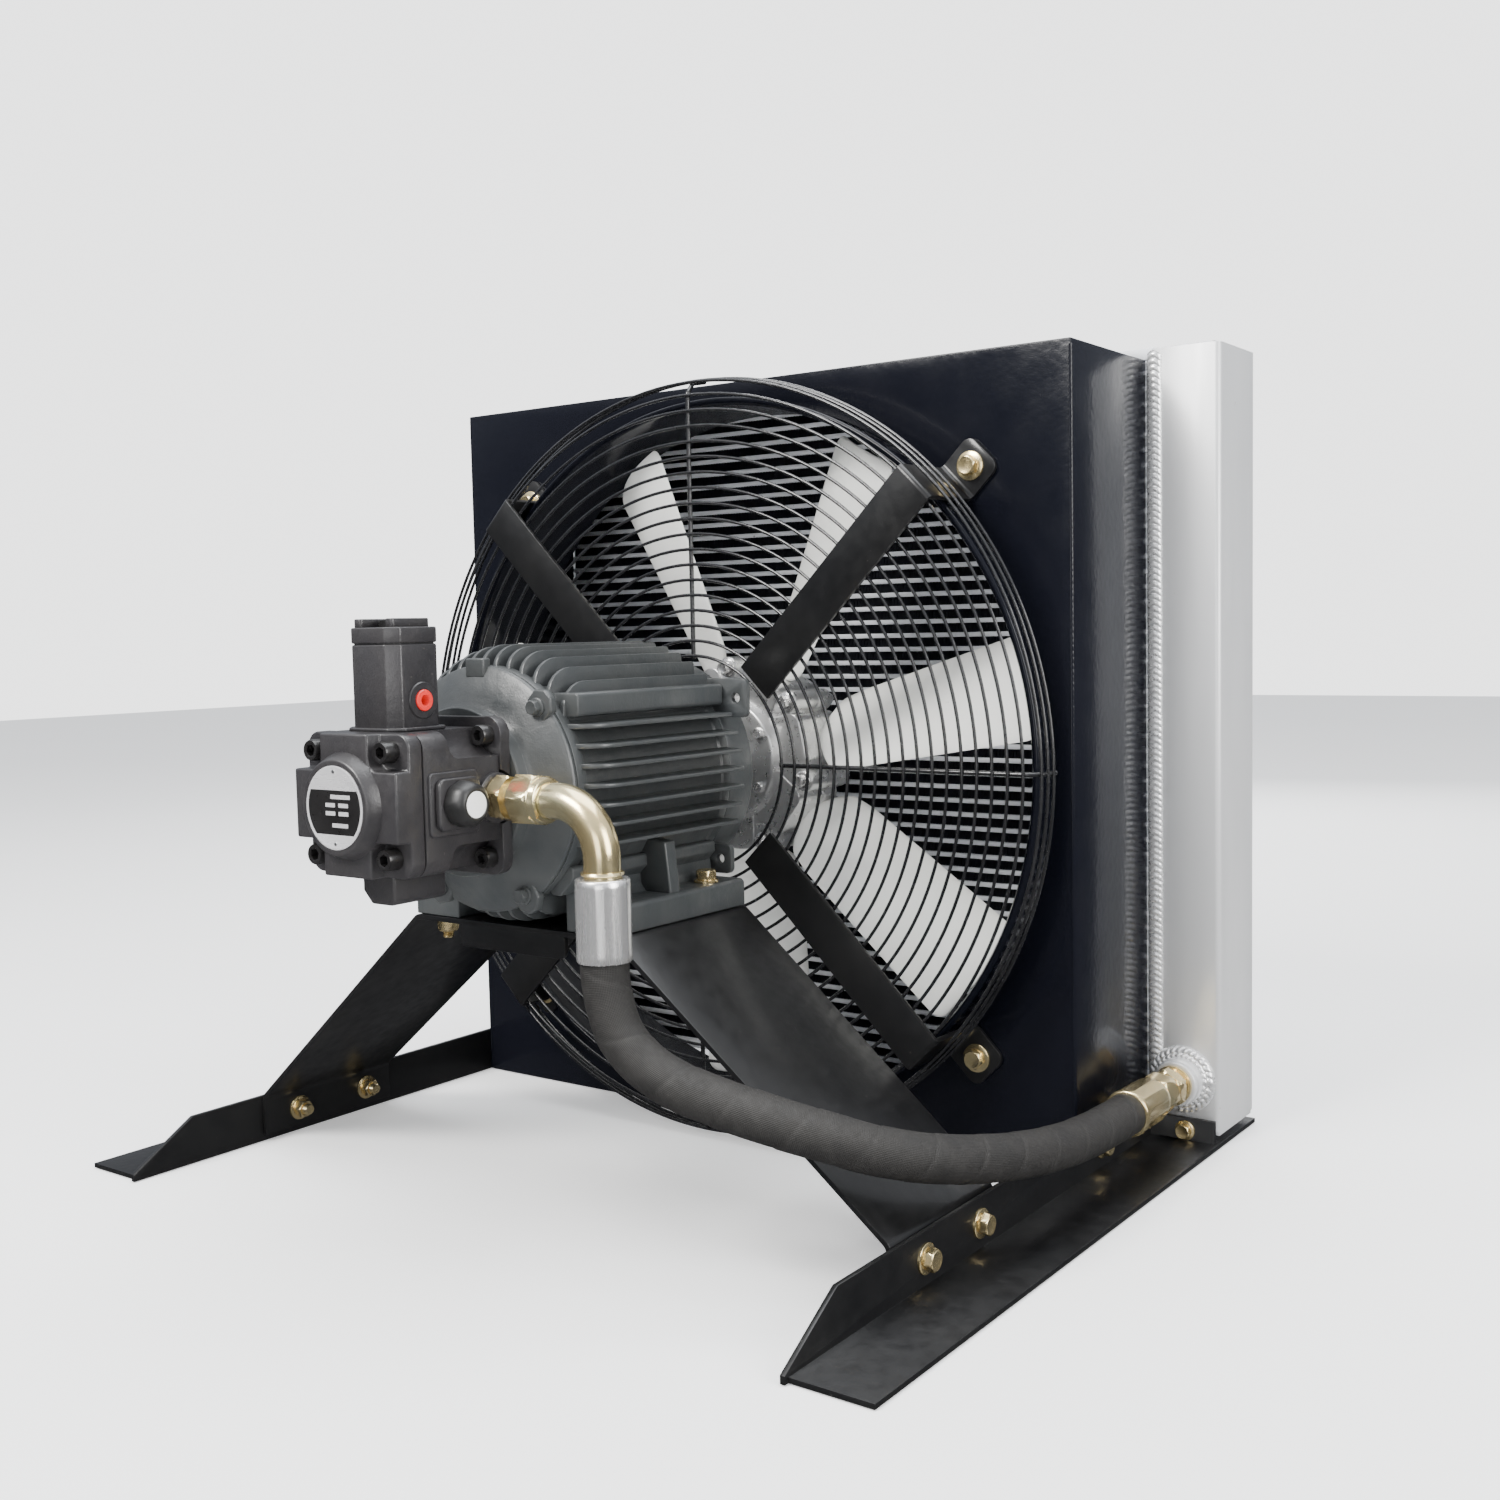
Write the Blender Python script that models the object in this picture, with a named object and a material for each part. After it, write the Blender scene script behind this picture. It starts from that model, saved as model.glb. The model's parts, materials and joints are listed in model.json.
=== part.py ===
"""Fan-cooled hydraulic oil cooler: a bar-and-plate oil core in a fan cowl, and an electric motor on a
bent steel saddle that drives the fan at its rear end and an oil pump at its front end.

Units are metres. +Z is up, +Y runs along the shaft from the pump to the core, +X is to the right of
someone who stands in front of the pump. The origin is at the middle of the base, on the floor.
"""

import math

import bmesh
import bpy
from mathutils import Matrix, Vector

GAP = 0.0003  # clearance kept between pieces that touch
MARGIN = 0.010  # how far a cutter runs past the face it cuts

# Cowl and shaft line
FRONT = 0.119  # Y of the cowl's front sheet
COWL_HALF_WIDTH = 0.346
COWL_HEIGHT = 0.7045
COWL_DEPTH = 0.155
SHEET = 0.003
AXIS_Z = 0.352  # height of the shaft
COLLAR_RADIUS = 0.326
COLLAR_WALL = 0.003
COLLAR_REACH = 0.040  # how far the collar stands out in front of the cowl

# Oil core and its tanks
CORE_HALF_WIDTH = 0.3525
CORE_BOTTOM = 0.010
CORE_TOP = 0.715
CORE_FRONT = FRONT + COWL_DEPTH + GAP
CORE_BACK = FRONT + 0.247
FIN_ROWS = 51
FIN_HEIGHT = 0.009
BAR_HEIGHT = 0.0045
GROOVE_DEPTH = 0.006  # how far the fin rows sit behind the bars' faces
TANK_OUTER = 0.4135
TANK_WALL = 0.004
PORT_X = 0.3785
INLET_Z = 0.058
OUTLET_Z = 0.655
PORT_BORE = 0.012
BOSS_RADIUS = 0.026
BOSS_LENGTH = 0.020
PLUG_SET_BACK = 0.0005
PLUG_REACH = 0.015

# Base rails and motor saddle
RAIL_THICKNESS = 0.004
RAIL_INNER = 0.3463
RAIL_FLANGE_EDGE = 0.414
RAIL_HEIGHT = 0.043
RAIL_FRONT = FRONT - 0.437
RAIL_NOSE = 0.062  # length of the sloping front end
TAB_HEIGHT = 0.024
SADDLE_THICKNESS = 0.0045
SADDLE_TOP = 0.2397
SADDLE_HALF_TOP = 0.110
SADDLE_HALF_BASE = 0.3459
SADDLE_FOOT_BOTTOM = 0.006
SADDLE_TOP_SPAN = (FRONT - 0.312, FRONT - 0.142)
SADDLE_BASE_SPAN = (FRONT - 0.300, FRONT - 0.148)
LIP_DROP = 0.022

# Guard in front of the fan
RING_COUNT = 18
RING_FIRST = 0.098
RING_LAST = 0.3335
RING_WIRE = 0.0016  # half the thickness of the wire
SMALL_RING = 0.17  # rings smaller than this get fewer sides
SMALL_RING_SIDES = 24
LARGE_RING_SIDES = 32
RING_Y = FRONT - 0.0675
RIM_RINGS = ((0.3462, FRONT - 0.0600), (0.3480, FRONT - 0.0520), (0.3498, FRONT - 0.0440))
ROD_WIRE = 0.0022
ROD_PATH = (
    (RING_FIRST - 0.004, RING_Y + 0.0005), (RING_LAST + 0.004, RING_Y + 0.0005),
    (0.3468, FRONT - 0.0605), (0.3506, FRONT - 0.0425),
)
ARM_WIDTH = 0.040
ARM_THICKNESS = 0.004
ARM_START = 0.104
ARM_BEND = 0.3405
ARM_END = 0.379
ARM_FRONT = FRONT - 0.0735
ARM_HOLE = 0.361
ARM_HOLE_RADIUS = 0.0055
ARM_ANGLES = (45, 135, 225, 315)

# Fan
FAN_Y = FRONT + 0.026  # middle plane of the fan
BLADE_COUNT = 7
BLADE_FIRST_ANGLE = 116.0
BLADE_TIP = 0.312
STEM_RADIUS = 0.008
STEM_START = 0.050
STEM_END = 0.083
ROOT_PITCH = 36
BLADE_RIM = (
    (-0.5, 0.0), (-0.36, 0.42), (0.0, 0.5), (0.36, 0.36),
    (0.5, 0.0), (0.36, -0.36), (0.0, -0.5), (-0.36, -0.42),
)
BLADE_SECTIONS = (  # radius, chord, pitch in degrees, thickness, camber
    (0.0868, 0.030, ROOT_PITCH, 0.0120, 0),
    (0.0900, 0.052, ROOT_PITCH, 0.0105, 0),
    (0.0970, 0.070, ROOT_PITCH, 0.0090, 0.001),
    (0.1080, 0.082, ROOT_PITCH, 0.0075, 0.002),
    (0.1250, 0.088, 35.5, 0.0065, 0.003),
    (0.2000, 0.096, 31, 0.0050, 0.006),
    (0.2600, 0.104, 28, 0.0042, 0.007),
    (0.3000, 0.106, 26, 0.0038, 0.007),
    (BLADE_TIP, 0.098, 25, 0.0034, 0.006),
)
HUB_RADIUS = 0.0835
HUB_FRONT_FACE = 0.040  # from the fan's middle plane
HUB_FRONT_DISC = 0.050
HUB_REAR_FACE = 0.024
HUB_REAR_DISC = 0.030
HUB_BORE = 0.0143
EAR_RADIUS = 0.0105
EAR_CIRCLE = 0.0855

# Motor, frame size 112S: shaft height 112 mm, foot bolts 190 mm across and 114 mm along
MOTOR_SPAN = (FRONT - 0.333, FRONT - 0.141)
MOTOR_CORE_RADIUS = 0.095
MOTOR_BORE = 0.083
FIN_THICKNESS = 0.003
SIDE_FINS = 7
SIDE_FIN_MIDDLE = 0.005  # height of the middle side fin above the shaft
SIDE_FIN_PITCH = 0.015
SIDE_TIP_RADIUS = 0.1165
TOP_FINS = 12
TOP_FIN_PITCH = 0.0138
TOP_TIP_RADIUS = 0.1135
BASE_FINS = 7
BASE_FIN_PITCH = 0.014
BASE_TIP_RADIUS = 0.110
LEDGE_REACH = 0.0905
LEDGE_BOTTOM = 0.058
LEDGE_TOP = 0.0755
LEDGE_ROOT = 0.0765  # the fin edges further across than this rise from the ledge
PAD_REACH = 0.082
PAD_START = 0.060
PAD_CORNER = 0.067
SHAFT_HEIGHT = 0.112
FOOT_SPAN = (FRONT - 0.311, FRONT - 0.1425)
FOOT_THICKNESS = 0.023
FOOT_INNER = 0.050
FOOT_EDGE = 0.110
FOOT_ROOT = AXIS_Z - 0.060
WEB_SPANS = ((FRONT - 0.311, FRONT - 0.303), (FRONT - 0.2365, FRONT - 0.2235))
WEB_EDGE = 0.105
WEB_TOP_EDGE = 0.100
WEB_TOP = AXIS_Z - 0.047
FOOT_BOLT_X = 0.095
FOOT_BOLT_YS = (FRONT - 0.2904, FRONT - 0.1764)
FOOT_BOLT_RADIUS = 0.005
FRONT_BELL_SPAN = (FRONT - 0.3637, FRONT - 0.3333)
BELL_DOME = FRONT - 0.3518
BELL_RADIUS = 0.0975
BELL_RING_RADIUS = 0.066
FRONT_LUG_ANGLES = (45, 135, 240, 300)
REAR_BELL_SPAN = (FRONT - 0.1407, FRONT - 0.104)
REAR_BELL_RADIUS = 0.0965
REAR_LUGS = (  # inner and outer X, low and high Z from the shaft
    (0.060, 0.114, 0.047, 0.080),
    (0.055, 0.094, -0.087, -0.062),
)
REAR_LUG_DEPTH = 0.0065
BEARING_RADIUS = 0.031
BEARING_WIDTH = 0.014
SHAFT_RADIUS = 0.014
SHAFT_ROOM = 0.018  # radius of the holes the shaft passes through
SHAFT_SPAN = (FRONT - 0.448, FAN_Y + 0.028)
STATOR_SPAN = (FRONT - 0.312, FRONT - 0.168)
STATOR_BORE = 0.055
BOX_LOW = (-0.182, FRONT - 0.292, AXIS_Z - 0.044)
BOX_HIGH = (-0.117, FRONT - 0.205, AXIS_Z + 0.052)

# Pump
FLANGE_SPAN = (FRONT - 0.3740, FRONT - 0.3640)
FLANGE_HALF = 0.0575
FLANGE_HALF_HEIGHT = 0.0605
FLANGE_CORNER = 0.014
BODY_SPAN = (FRONT - 0.4487, FRONT - 0.3743)
BODY_HALF = 0.055
BODY_HALF_HEIGHT = 0.052
SUMP_OUTLINE = (
    (-0.017, AXIS_Z - 0.045), (-0.017, AXIS_Z - 0.066), (-0.008, AXIS_Z - 0.0755), (0.017, AXIS_Z - 0.0755),
    (0.017, AXIS_Z - 0.045),
)
SCOOP_X = 0.053
SCOOP_Z = 0.052
SCOOP_RADIUS = 0.0205
SCOOP_START = FRONT - 0.4245
COVER_SPAN = (FRONT - 0.4750, FRONT - 0.4490)
COVER_HALF = 0.0545
COVER_HALF_HEIGHT = 0.052
COVER_Z = AXIS_Z + 0.0005
COVER_ARM = 0.0255  # half the width of the arms between the corner notches
NOTCH_HALF = 0.019
NOTCH_FLOOR = FRONT - 0.462
COVER_BOSS_FRONT = FRONT - 0.4846
BOSS_FRONT_RADIUS = 0.0345
BOSS_FOOT_RADIUS = 0.039
LABEL_RADIUS = 0.0305
CAVITY_RADIUS = 0.046
CAVITY_BACK = FRONT - 0.392
CAM_OUTER = 0.0405
CAM_INNER = 0.0325
CAM_SPAN = (FRONT - 0.448, FRONT - 0.396)
CAM_OFFSET = -0.003  # the cam ring's rest place below the shaft, at full delivery
ROTOR_RADIUS = 0.0285
GOVERNOR_Y = FRONT - 0.425  # middle of the pressure compensator on top of the pump
GOVERNOR_HALF_X = 0.026
GOVERNOR_HALF_Y = 0.0235
CAP_SEAM = AXIS_Z + 0.1157
CAP_TOP = AXIS_Z + 0.128
BLOCK_INNER = 0.013
BLOCK_OUTER = 0.021
BLOCK_TOP = AXIS_Z + 0.1345
SCREW_RADIUS = 0.006
SCREW_TOP = AXIS_Z + 0.134
PLUG_RADIUS = 0.008
PORT_Y = FRONT - 0.380  # outlet port's axis
PORT_ROOM_RADIUS = 0.0212
NECK_RADIUS = 0.019
NECK_FACE = 0.059
SUCTION_RADIUS = 0.024
SUCTION_BORE = 0.013
SUCTION_FACE = -0.067
ADJUSTER_Y = FRONT - 0.4215
ADJUSTER_Z = AXIS_Z - 0.0002
PAD_FACE = 0.0575
KNOB_RADIUS = 0.0172

# Hose from the pump to the right-hand tank
ELBOW_RADIUS = 0.0135
ELBOW_BEND = 0.040
ELBOW_X = 0.160
FERRULE_RADIUS = 0.020
FERRULE_TOP = 0.299
FERRULE_BOTTOM = 0.2393
HOSE_RADIUS = 0.018
HOSE_ROUTE = (
    (0.160, FRONT - 0.380, 0.2390),
    (0.160, FRONT - 0.380, 0.2300),
    (0.163, FRONT - 0.379, 0.2080),
    (0.171, FRONT - 0.377, 0.1860),
    (0.189, FRONT - 0.372, 0.1660),
    (0.214, FRONT - 0.364, 0.1520),
    (0.243, FRONT - 0.354, 0.1420),
    (0.276, FRONT - 0.341, 0.1320),
    (0.307, FRONT - 0.322, 0.1210),
    (0.334, FRONT - 0.295, 0.1080),
    (0.354, FRONT - 0.258, 0.0960),
    (0.367, FRONT - 0.212, 0.0850),
    (0.374, FRONT - 0.158, 0.0740),
    (0.378, FRONT - 0.098, 0.0650),
    (0.3785, FRONT - 0.040, 0.0597),
    (0.3785, FRONT + 0.012, 0.0580),
    (0.3785, FRONT + 0.028, 0.0580),
)

PAINT_BLACK = ("black_gloss_paint", (0.012, 0.013, 0.016), 0.12, 0.0)
PAINT_SATIN = ("black_satin_paint", (0.016, 0.016, 0.017), 0.38, 0.0)
MOTOR_GREY = ("motor_grey_paint", (0.19, 0.20, 0.20), 0.45, 0.0)
PUMP_GREY = ("pump_charcoal_paint", (0.055, 0.053, 0.058), 0.42, 0.0)
ALUMINIUM = ("tank_aluminium", (0.66, 0.66, 0.65), 0.35, 1.0)
CORE_METAL = ("core_aluminium", (0.42, 0.44, 0.46), 0.45, 1.0)
ZINC = ("yellow_zinc", (0.74, 0.62, 0.36), 0.28, 1.0)
STEEL = ("plain_steel", (0.50, 0.50, 0.50), 0.32, 1.0)
FERRULE_METAL = ("bright_zinc", (0.78, 0.77, 0.75), 0.25, 1.0)
HOSE_RUBBER = ("hose_rubber", (0.045, 0.041, 0.038), 0.72, 0.0)
BLADE_PLASTIC = ("blade_nylon", (0.78, 0.78, 0.74), 0.42, 0.0)
BLACK_PLASTIC = ("black_plastic", (0.020, 0.020, 0.020), 0.50, 0.0)
RED_PLASTIC = ("red_plastic", (0.62, 0.03, 0.03), 0.38, 0.0)
LABEL_PLATE = ("blank_plate", (0.70, 0.70, 0.71), 0.35, 0.6)
STATOR_STEEL = ("lamination_steel", (0.30, 0.29, 0.28), 0.50, 1.0)


def look(finish):
    """The finish's material, made once and shared."""
    name, colour, roughness, metallic = finish
    found = bpy.data.materials.get(name)
    if found:
        return found
    made = bpy.data.materials.new(name)
    made.use_nodes = True
    shader = made.node_tree.nodes["Principled BSDF"]
    shader.inputs["Base Color"].default_value = (*colour, 1.0)
    shader.inputs["Roughness"].default_value = roughness
    shader.inputs["Metallic"].default_value = metallic
    made.diffuse_color = (*colour, 1.0)
    return made


def make_object(name, mesh, finish=None, smooth=True):
    """An object in the scene for the mesh. With no finish, it is a cutter or a guide."""
    piece = bpy.data.objects.new(name, mesh)
    bpy.context.scene.collection.objects.link(piece)
    if finish:
        mesh.materials.append(look(finish))
    else:
        piece.hide_render = True
        piece.display_type = "WIRE"
    if smooth:
        mesh.shade_smooth()
        mesh.set_sharp_from_angle(angle=math.radians(35))
    return piece


def mesh_from(name, points, faces):
    shape = bmesh.new()
    corners = [shape.verts.new(point) for point in points]
    for face in faces:
        shape.faces.new([corners[index] for index in face])
    bmesh.ops.recalc_face_normals(shape, faces=shape.faces)
    mesh = bpy.data.meshes.new(name)
    shape.to_mesh(mesh)
    shape.free()
    return mesh


def place(axis, across, up, along):
    """A point from its two places across an axis and its place along it."""
    if axis == "X":
        return (along, across, up)
    if axis == "Y":
        return (across, along, up)
    return (across, up, along)


def prism(name, outline, axis, low, high, finish=None, smooth=False):
    """An outline pulled along an axis. Its points are (Y, Z), (X, Z) or (X, Y) for axis X, Y or Z."""
    count = len(outline)
    points = [place(axis, a, b, along) for along in (low, high) for a, b in outline]
    faces = [tuple(range(count)), tuple(reversed(range(count, 2 * count)))]
    faces += [(i, (i + 1) % count, count + (i + 1) % count, count + i) for i in range(count)]
    return make_object(name, mesh_from(name, points, faces), finish, smooth)


def box(name, low, high, finish=None):
    outline = ((low[0], low[2]), (high[0], low[2]), (high[0], high[2]), (low[0], high[2]))
    return prism(name, outline, "Y", low[1], high[1], finish)


def circle(radius, count, centre=(0.0, 0.0), turn=0.0):
    step = 2 * math.pi / count
    return [
        (centre[0] + radius * math.cos(turn + i * step), centre[1] + radius * math.sin(turn + i * step))
        for i in range(count)
    ]


def rounded_rectangle(half_a, half_b, radius, centre=(0.0, 0.0), steps=4):
    """Points around a rectangle whose corners are arcs."""
    outline = []
    for corner, (sign_a, sign_b) in enumerate(((1, 1), (-1, 1), (-1, -1), (1, -1))):
        for step in range(steps + 1):
            angle = math.pi / 2 * (corner + step / steps)
            outline.append((
                centre[0] + sign_a * (half_a - radius) + radius * math.cos(angle),
                centre[1] + sign_b * (half_b - radius) + radius * math.sin(angle),
            ))
    return outline


def turned(name, profile, axis, centre, count, finish=None):
    """A profile of (radius, place along the axis) turned about the axis. Radius 0 closes it with a point."""
    points = []
    rings = []
    for radius, along in profile:
        if radius == 0:
            rings.append([len(points)])
            points.append(place(axis, centre[0], centre[1], along))
            continue
        rings.append(list(range(len(points), len(points) + count)))
        points += [place(axis, a, b, along) for a, b in circle(radius, count, centre)]
    pairs = list(zip(rings, rings[1:]))
    if profile[0][0] and profile[-1][0]:
        pairs.append((rings[-1], rings[0]))
    faces = []
    for first, second in pairs:
        for i in range(count):
            j = (i + 1) % count
            face = [first[i % len(first)], first[j % len(first)]]
            face += [second[j % len(second)], second[i % len(second)]]
            faces.append(tuple(dict.fromkeys(face)))
    return make_object(name, mesh_from(name, points, faces), finish)


def rod(name, radius, axis, centre, low, high, count=16, finish=None):
    """A round bar, or with count 6 a hexagonal one."""
    return prism(name, circle(radius, count, centre), axis, low, high, finish, smooth=count > 8)


def strip(path, thickness):
    """The outline of a bent sheet: the path, and the same path moved to its left by the thickness."""
    inner = []
    for i, point in enumerate(path):
        here = Vector(point)
        before = (here - Vector(path[i - 1])).normalized() if i else None
        after = (Vector(path[i + 1]) - here).normalized() if i + 1 < len(path) else None
        before = before or after
        after = after or before
        side = Vector((-(before + after).y, (before + after).x)).normalized()
        reach = thickness / side.dot(Vector((-after.y, after.x)))
        inner.append(tuple(here + side * reach))
    return list(path) + inner[::-1]


def boolean(piece, operation, tools):
    for tool in tools:
        step = piece.modifiers.new(f"{operation.lower()}_{tool.name}", "BOOLEAN")
        step.operation = operation
        step.solver = "EXACT"
        step.object = tool
    return piece


def cut(piece, *tools):
    return boolean(piece, "DIFFERENCE", tools)


def join(piece, *tools):
    return boolean(piece, "UNION", tools)


def merged(name, pieces):
    """Guides that don't touch each other, made into one guide."""
    shape = bmesh.new()
    for piece in pieces:
        shape.from_mesh(piece.data)
        bpy.data.objects.remove(piece)
    mesh = bpy.data.meshes.new(name)
    shape.to_mesh(mesh)
    shape.free()
    return make_object(name, mesh)


def hang_on(parent, *pieces):
    """The pieces keep their place and take the empty as their parent."""
    for piece in pieces:
        piece.parent = parent
        piece.matrix_parent_inverse = Matrix.Translation(-parent.location)


def joint_axis(name, place_of_axis):
    empty = bpy.data.objects.new(name, None)
    bpy.context.scene.collection.objects.link(empty)
    empty.location = place_of_axis
    return empty


def make_cowl():
    top = COWL_HEIGHT
    back = FRONT + COWL_DEPTH
    half = COWL_HALF_WIDTH
    cowl = box("cowl", (-half, FRONT, 0), (half, back, top), PAINT_BLACK)
    inner = half - SHEET
    room = box("cowl_room", (-inner, FRONT + SHEET, SHEET), (inner, back + MARGIN, top - SHEET))
    around = COLLAR_RADIUS + COLLAR_WALL + GAP
    hole = rod("cowl_hole", around, "Y", (0, AXIS_Z), FRONT - MARGIN, FRONT + MARGIN, 64)
    cut(cowl, room, hole)


def make_collar():
    """The fan's round collar, with its front edge rolled outwards."""
    inner = COLLAR_RADIUS
    outer = COLLAR_RADIUS + COLLAR_WALL
    front = FRONT - COLLAR_REACH
    back = FRONT + 0.055
    profile = (
        (inner, back), (inner, front + 0.004), (inner + 0.002, front), (outer + 0.003, front),
        (outer + 0.005, front + 0.003), (outer + 0.003, front + 0.006), (outer, front + 0.006), (outer, back),
    )
    turned("fan_collar", profile, "Y", (0, AXIS_Z), 64, PAINT_BLACK)


def ring_profile(radius, y, wire):
    return ((radius + wire, y), (radius, y + wire), (radius - wire, y), (radius, y - wire))


def make_guard():
    """Round wires, with four rods behind them that follow the rim back to the last rim ring."""
    pitch = (RING_LAST - RING_FIRST) / (RING_COUNT - 1)
    rings = [(RING_FIRST + i * pitch, RING_Y) for i in range(RING_COUNT)] + list(RIM_RINGS)
    wires = [
        turned(
            f"guard_ring_{i}", ring_profile(radius, y, RING_WIRE), "Y", (0, AXIS_Z),
            SMALL_RING_SIDES if radius < SMALL_RING else LARGE_RING_SIDES,
        )
        for i, (radius, y) in enumerate(rings)
    ]
    mesh = merged("guard_rings", wires).data
    bpy.data.objects.remove(bpy.data.objects["guard_rings"])
    guard = make_object("fan_guard", mesh, PAINT_SATIN)
    rods = []
    for turn in range(4):
        bar = prism(f"guard_rod_{turn}", strip(ROD_PATH, 2 * ROD_WIRE), "Z", -ROD_WIRE, ROD_WIRE)
        quarter = Matrix.Rotation(math.radians(90 * turn), 4, "Y")
        bar.data.transform(Matrix.Translation((0, 0, AXIS_Z)) @ quarter)
        rods.append(bar)
    join(guard, merged("guard_rods", rods))


def make_arms():
    """Four flat bars that carry the guard: out over the rings, back to the cowl, and out to a bolted tab."""
    tab = FRONT - GAP - ARM_THICKNESS
    path = ((ARM_START, ARM_FRONT), (ARM_BEND, ARM_FRONT), (ARM_BEND + 0.001, tab), (ARM_END, tab))
    half = ARM_WIDTH / 2
    for number, degrees in enumerate(ARM_ANGLES, 1):
        arm = prism(f"guard_arm_{number}", strip(path, ARM_THICKNESS), "Z", -half, half, PAINT_SATIN)
        hole = rod(f"arm_hole_{number}", ARM_HOLE_RADIUS, "Y", (ARM_HOLE, 0), FRONT - MARGIN, FRONT, 12)
        turn = turn_about_shaft(degrees)
        arm.data.transform(turn)
        hole.data.transform(turn)
        cut(arm, hole)


def turn_about_shaft(degrees):
    """Moves a shape from the origin to the shaft's axis, turned anticlockwise as seen from the front."""
    return Matrix.Translation((0, 0, AXIS_Z)) @ Matrix.Rotation(math.radians(-degrees), 4, "Y")


def make_core():
    """Bars and plates brazed into one block. Rows of fins sit a little behind the bars, front and back."""
    end_plate = (CORE_TOP - CORE_BOTTOM - FIN_ROWS * FIN_HEIGHT - (FIN_ROWS - 1) * BAR_HEIGHT) / 2
    front = []
    back = []
    for row in range(FIN_ROWS):
        low = CORE_BOTTOM + end_plate + row * (FIN_HEIGHT + BAR_HEIGHT)
        high = low + FIN_HEIGHT
        front += [
            (CORE_FRONT, low), (CORE_FRONT + GROOVE_DEPTH, low),
            (CORE_FRONT + GROOVE_DEPTH, high), (CORE_FRONT, high),
        ]
        back += [
            (CORE_BACK, low), (CORE_BACK - GROOVE_DEPTH, low),
            (CORE_BACK - GROOVE_DEPTH, high), (CORE_BACK, high),
        ]
    outline = (
        [(CORE_FRONT, CORE_BOTTOM)] + front + [(CORE_FRONT, CORE_TOP), (CORE_BACK, CORE_TOP)]
        + back[::-1] + [(CORE_BACK, CORE_BOTTOM)]
    )
    prism("cooler_core", outline, "X", -CORE_HALF_WIDTH, CORE_HALF_WIDTH, CORE_METAL)


def make_tank(name, side, port_z):
    """A folded tank, open towards the core, with a welded port boss on its front face."""
    near = CORE_HALF_WIDTH + GAP
    bevel = 0.004
    outline = [
        (side * near, CORE_FRONT), (side * (TANK_OUTER - bevel), CORE_FRONT),
        (side * TANK_OUTER, CORE_FRONT + bevel), (side * TANK_OUTER, CORE_BACK - bevel),
        (side * (TANK_OUTER - bevel), CORE_BACK), (side * near, CORE_BACK),
    ]
    tank = prism(name, outline, "Z", CORE_BOTTOM, CORE_TOP, ALUMINIUM)
    xs = sorted((side * (near - 0.01), side * (TANK_OUTER - TANK_WALL)))
    room = box(
        f"{name}_room",
        (xs[0], CORE_FRONT + TANK_WALL, CORE_BOTTOM + TANK_WALL),
        (xs[1], CORE_BACK - TANK_WALL, CORE_TOP - TANK_WALL),
    )
    centre = (side * PORT_X, port_z)
    boss = rod(f"{name}_boss", BOSS_RADIUS, "Y", centre, CORE_FRONT - BOSS_LENGTH, CORE_FRONT + 0.002, 28)
    bore = rod(f"{name}_bore", PORT_BORE, "Y", centre, CORE_FRONT - BOSS_LENGTH - 0.01, CORE_FRONT + 0.02, 20)
    cut(join(tank, boss), room, bore)


def make_outlet_plug():
    """The transport plug inside the unused outlet port. It sits just behind the boss's face."""
    face = CORE_FRONT - BOSS_LENGTH
    rod(
        "outlet_plug", PORT_BORE - GAP, "Y", (-PORT_X, OUTLET_Z), face + PLUG_SET_BACK, face + PLUG_REACH, 20,
        RED_PLASTIC,
    )


def finned_side(middle, pitch, count, tip_radius):
    """Fins on one side of the frame: (outward, across) points in order, seen with that side on the right."""
    side = []
    for i in range(count):
        across = middle + (i - (count - 1) / 2) * pitch
        for edge, outward_first in ((across - FIN_THICKNESS / 2, False), (across + FIN_THICKNESS / 2, True)):
            tip = (math.sqrt(tip_radius**2 - edge**2), edge)
            core = math.sqrt(MOTOR_CORE_RADIUS**2 - edge**2)
            root = (LEDGE_TOP if abs(edge) > LEDGE_ROOT else core, edge)
            side += [tip, root] if outward_first else [root, tip]
    return side


def make_rails():
    """Angle rails with a sloping nose, and an upright tab under each tank's front face."""
    back = FRONT + COWL_DEPTH
    for name, side in (("rail_left", -1), ("rail_right", 1)):
        outer = RAIL_INNER + RAIL_THICKNESS
        web_outline = (
            (RAIL_FRONT, 0), (back, 0), (back, RAIL_HEIGHT), (RAIL_FRONT + RAIL_NOSE, RAIL_HEIGHT),
            (RAIL_FRONT, 0.006),
        )
        ends = sorted((side * RAIL_INNER, side * outer))
        rail = prism(name, web_outline, "X", ends[0], ends[1], PAINT_SATIN)
        ends = sorted((side * (RAIL_INNER + 0.0005), side * RAIL_FLANGE_EDGE))
        flange = box(f"{name}_flange", (ends[0], RAIL_FRONT + 0.004, 0), (ends[1], CORE_BACK, RAIL_THICKNESS))
        ends = sorted((side * (outer - 0.001), side * (RAIL_FLANGE_EDGE - 0.004)))
        tab_back = CORE_FRONT - GAP
        low = (ends[0], tab_back - RAIL_THICKNESS, 0.001)
        tab = box(f"{name}_tab", low, (ends[1], tab_back, TAB_HEIGHT))
        join(rail, flange, tab)


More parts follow.
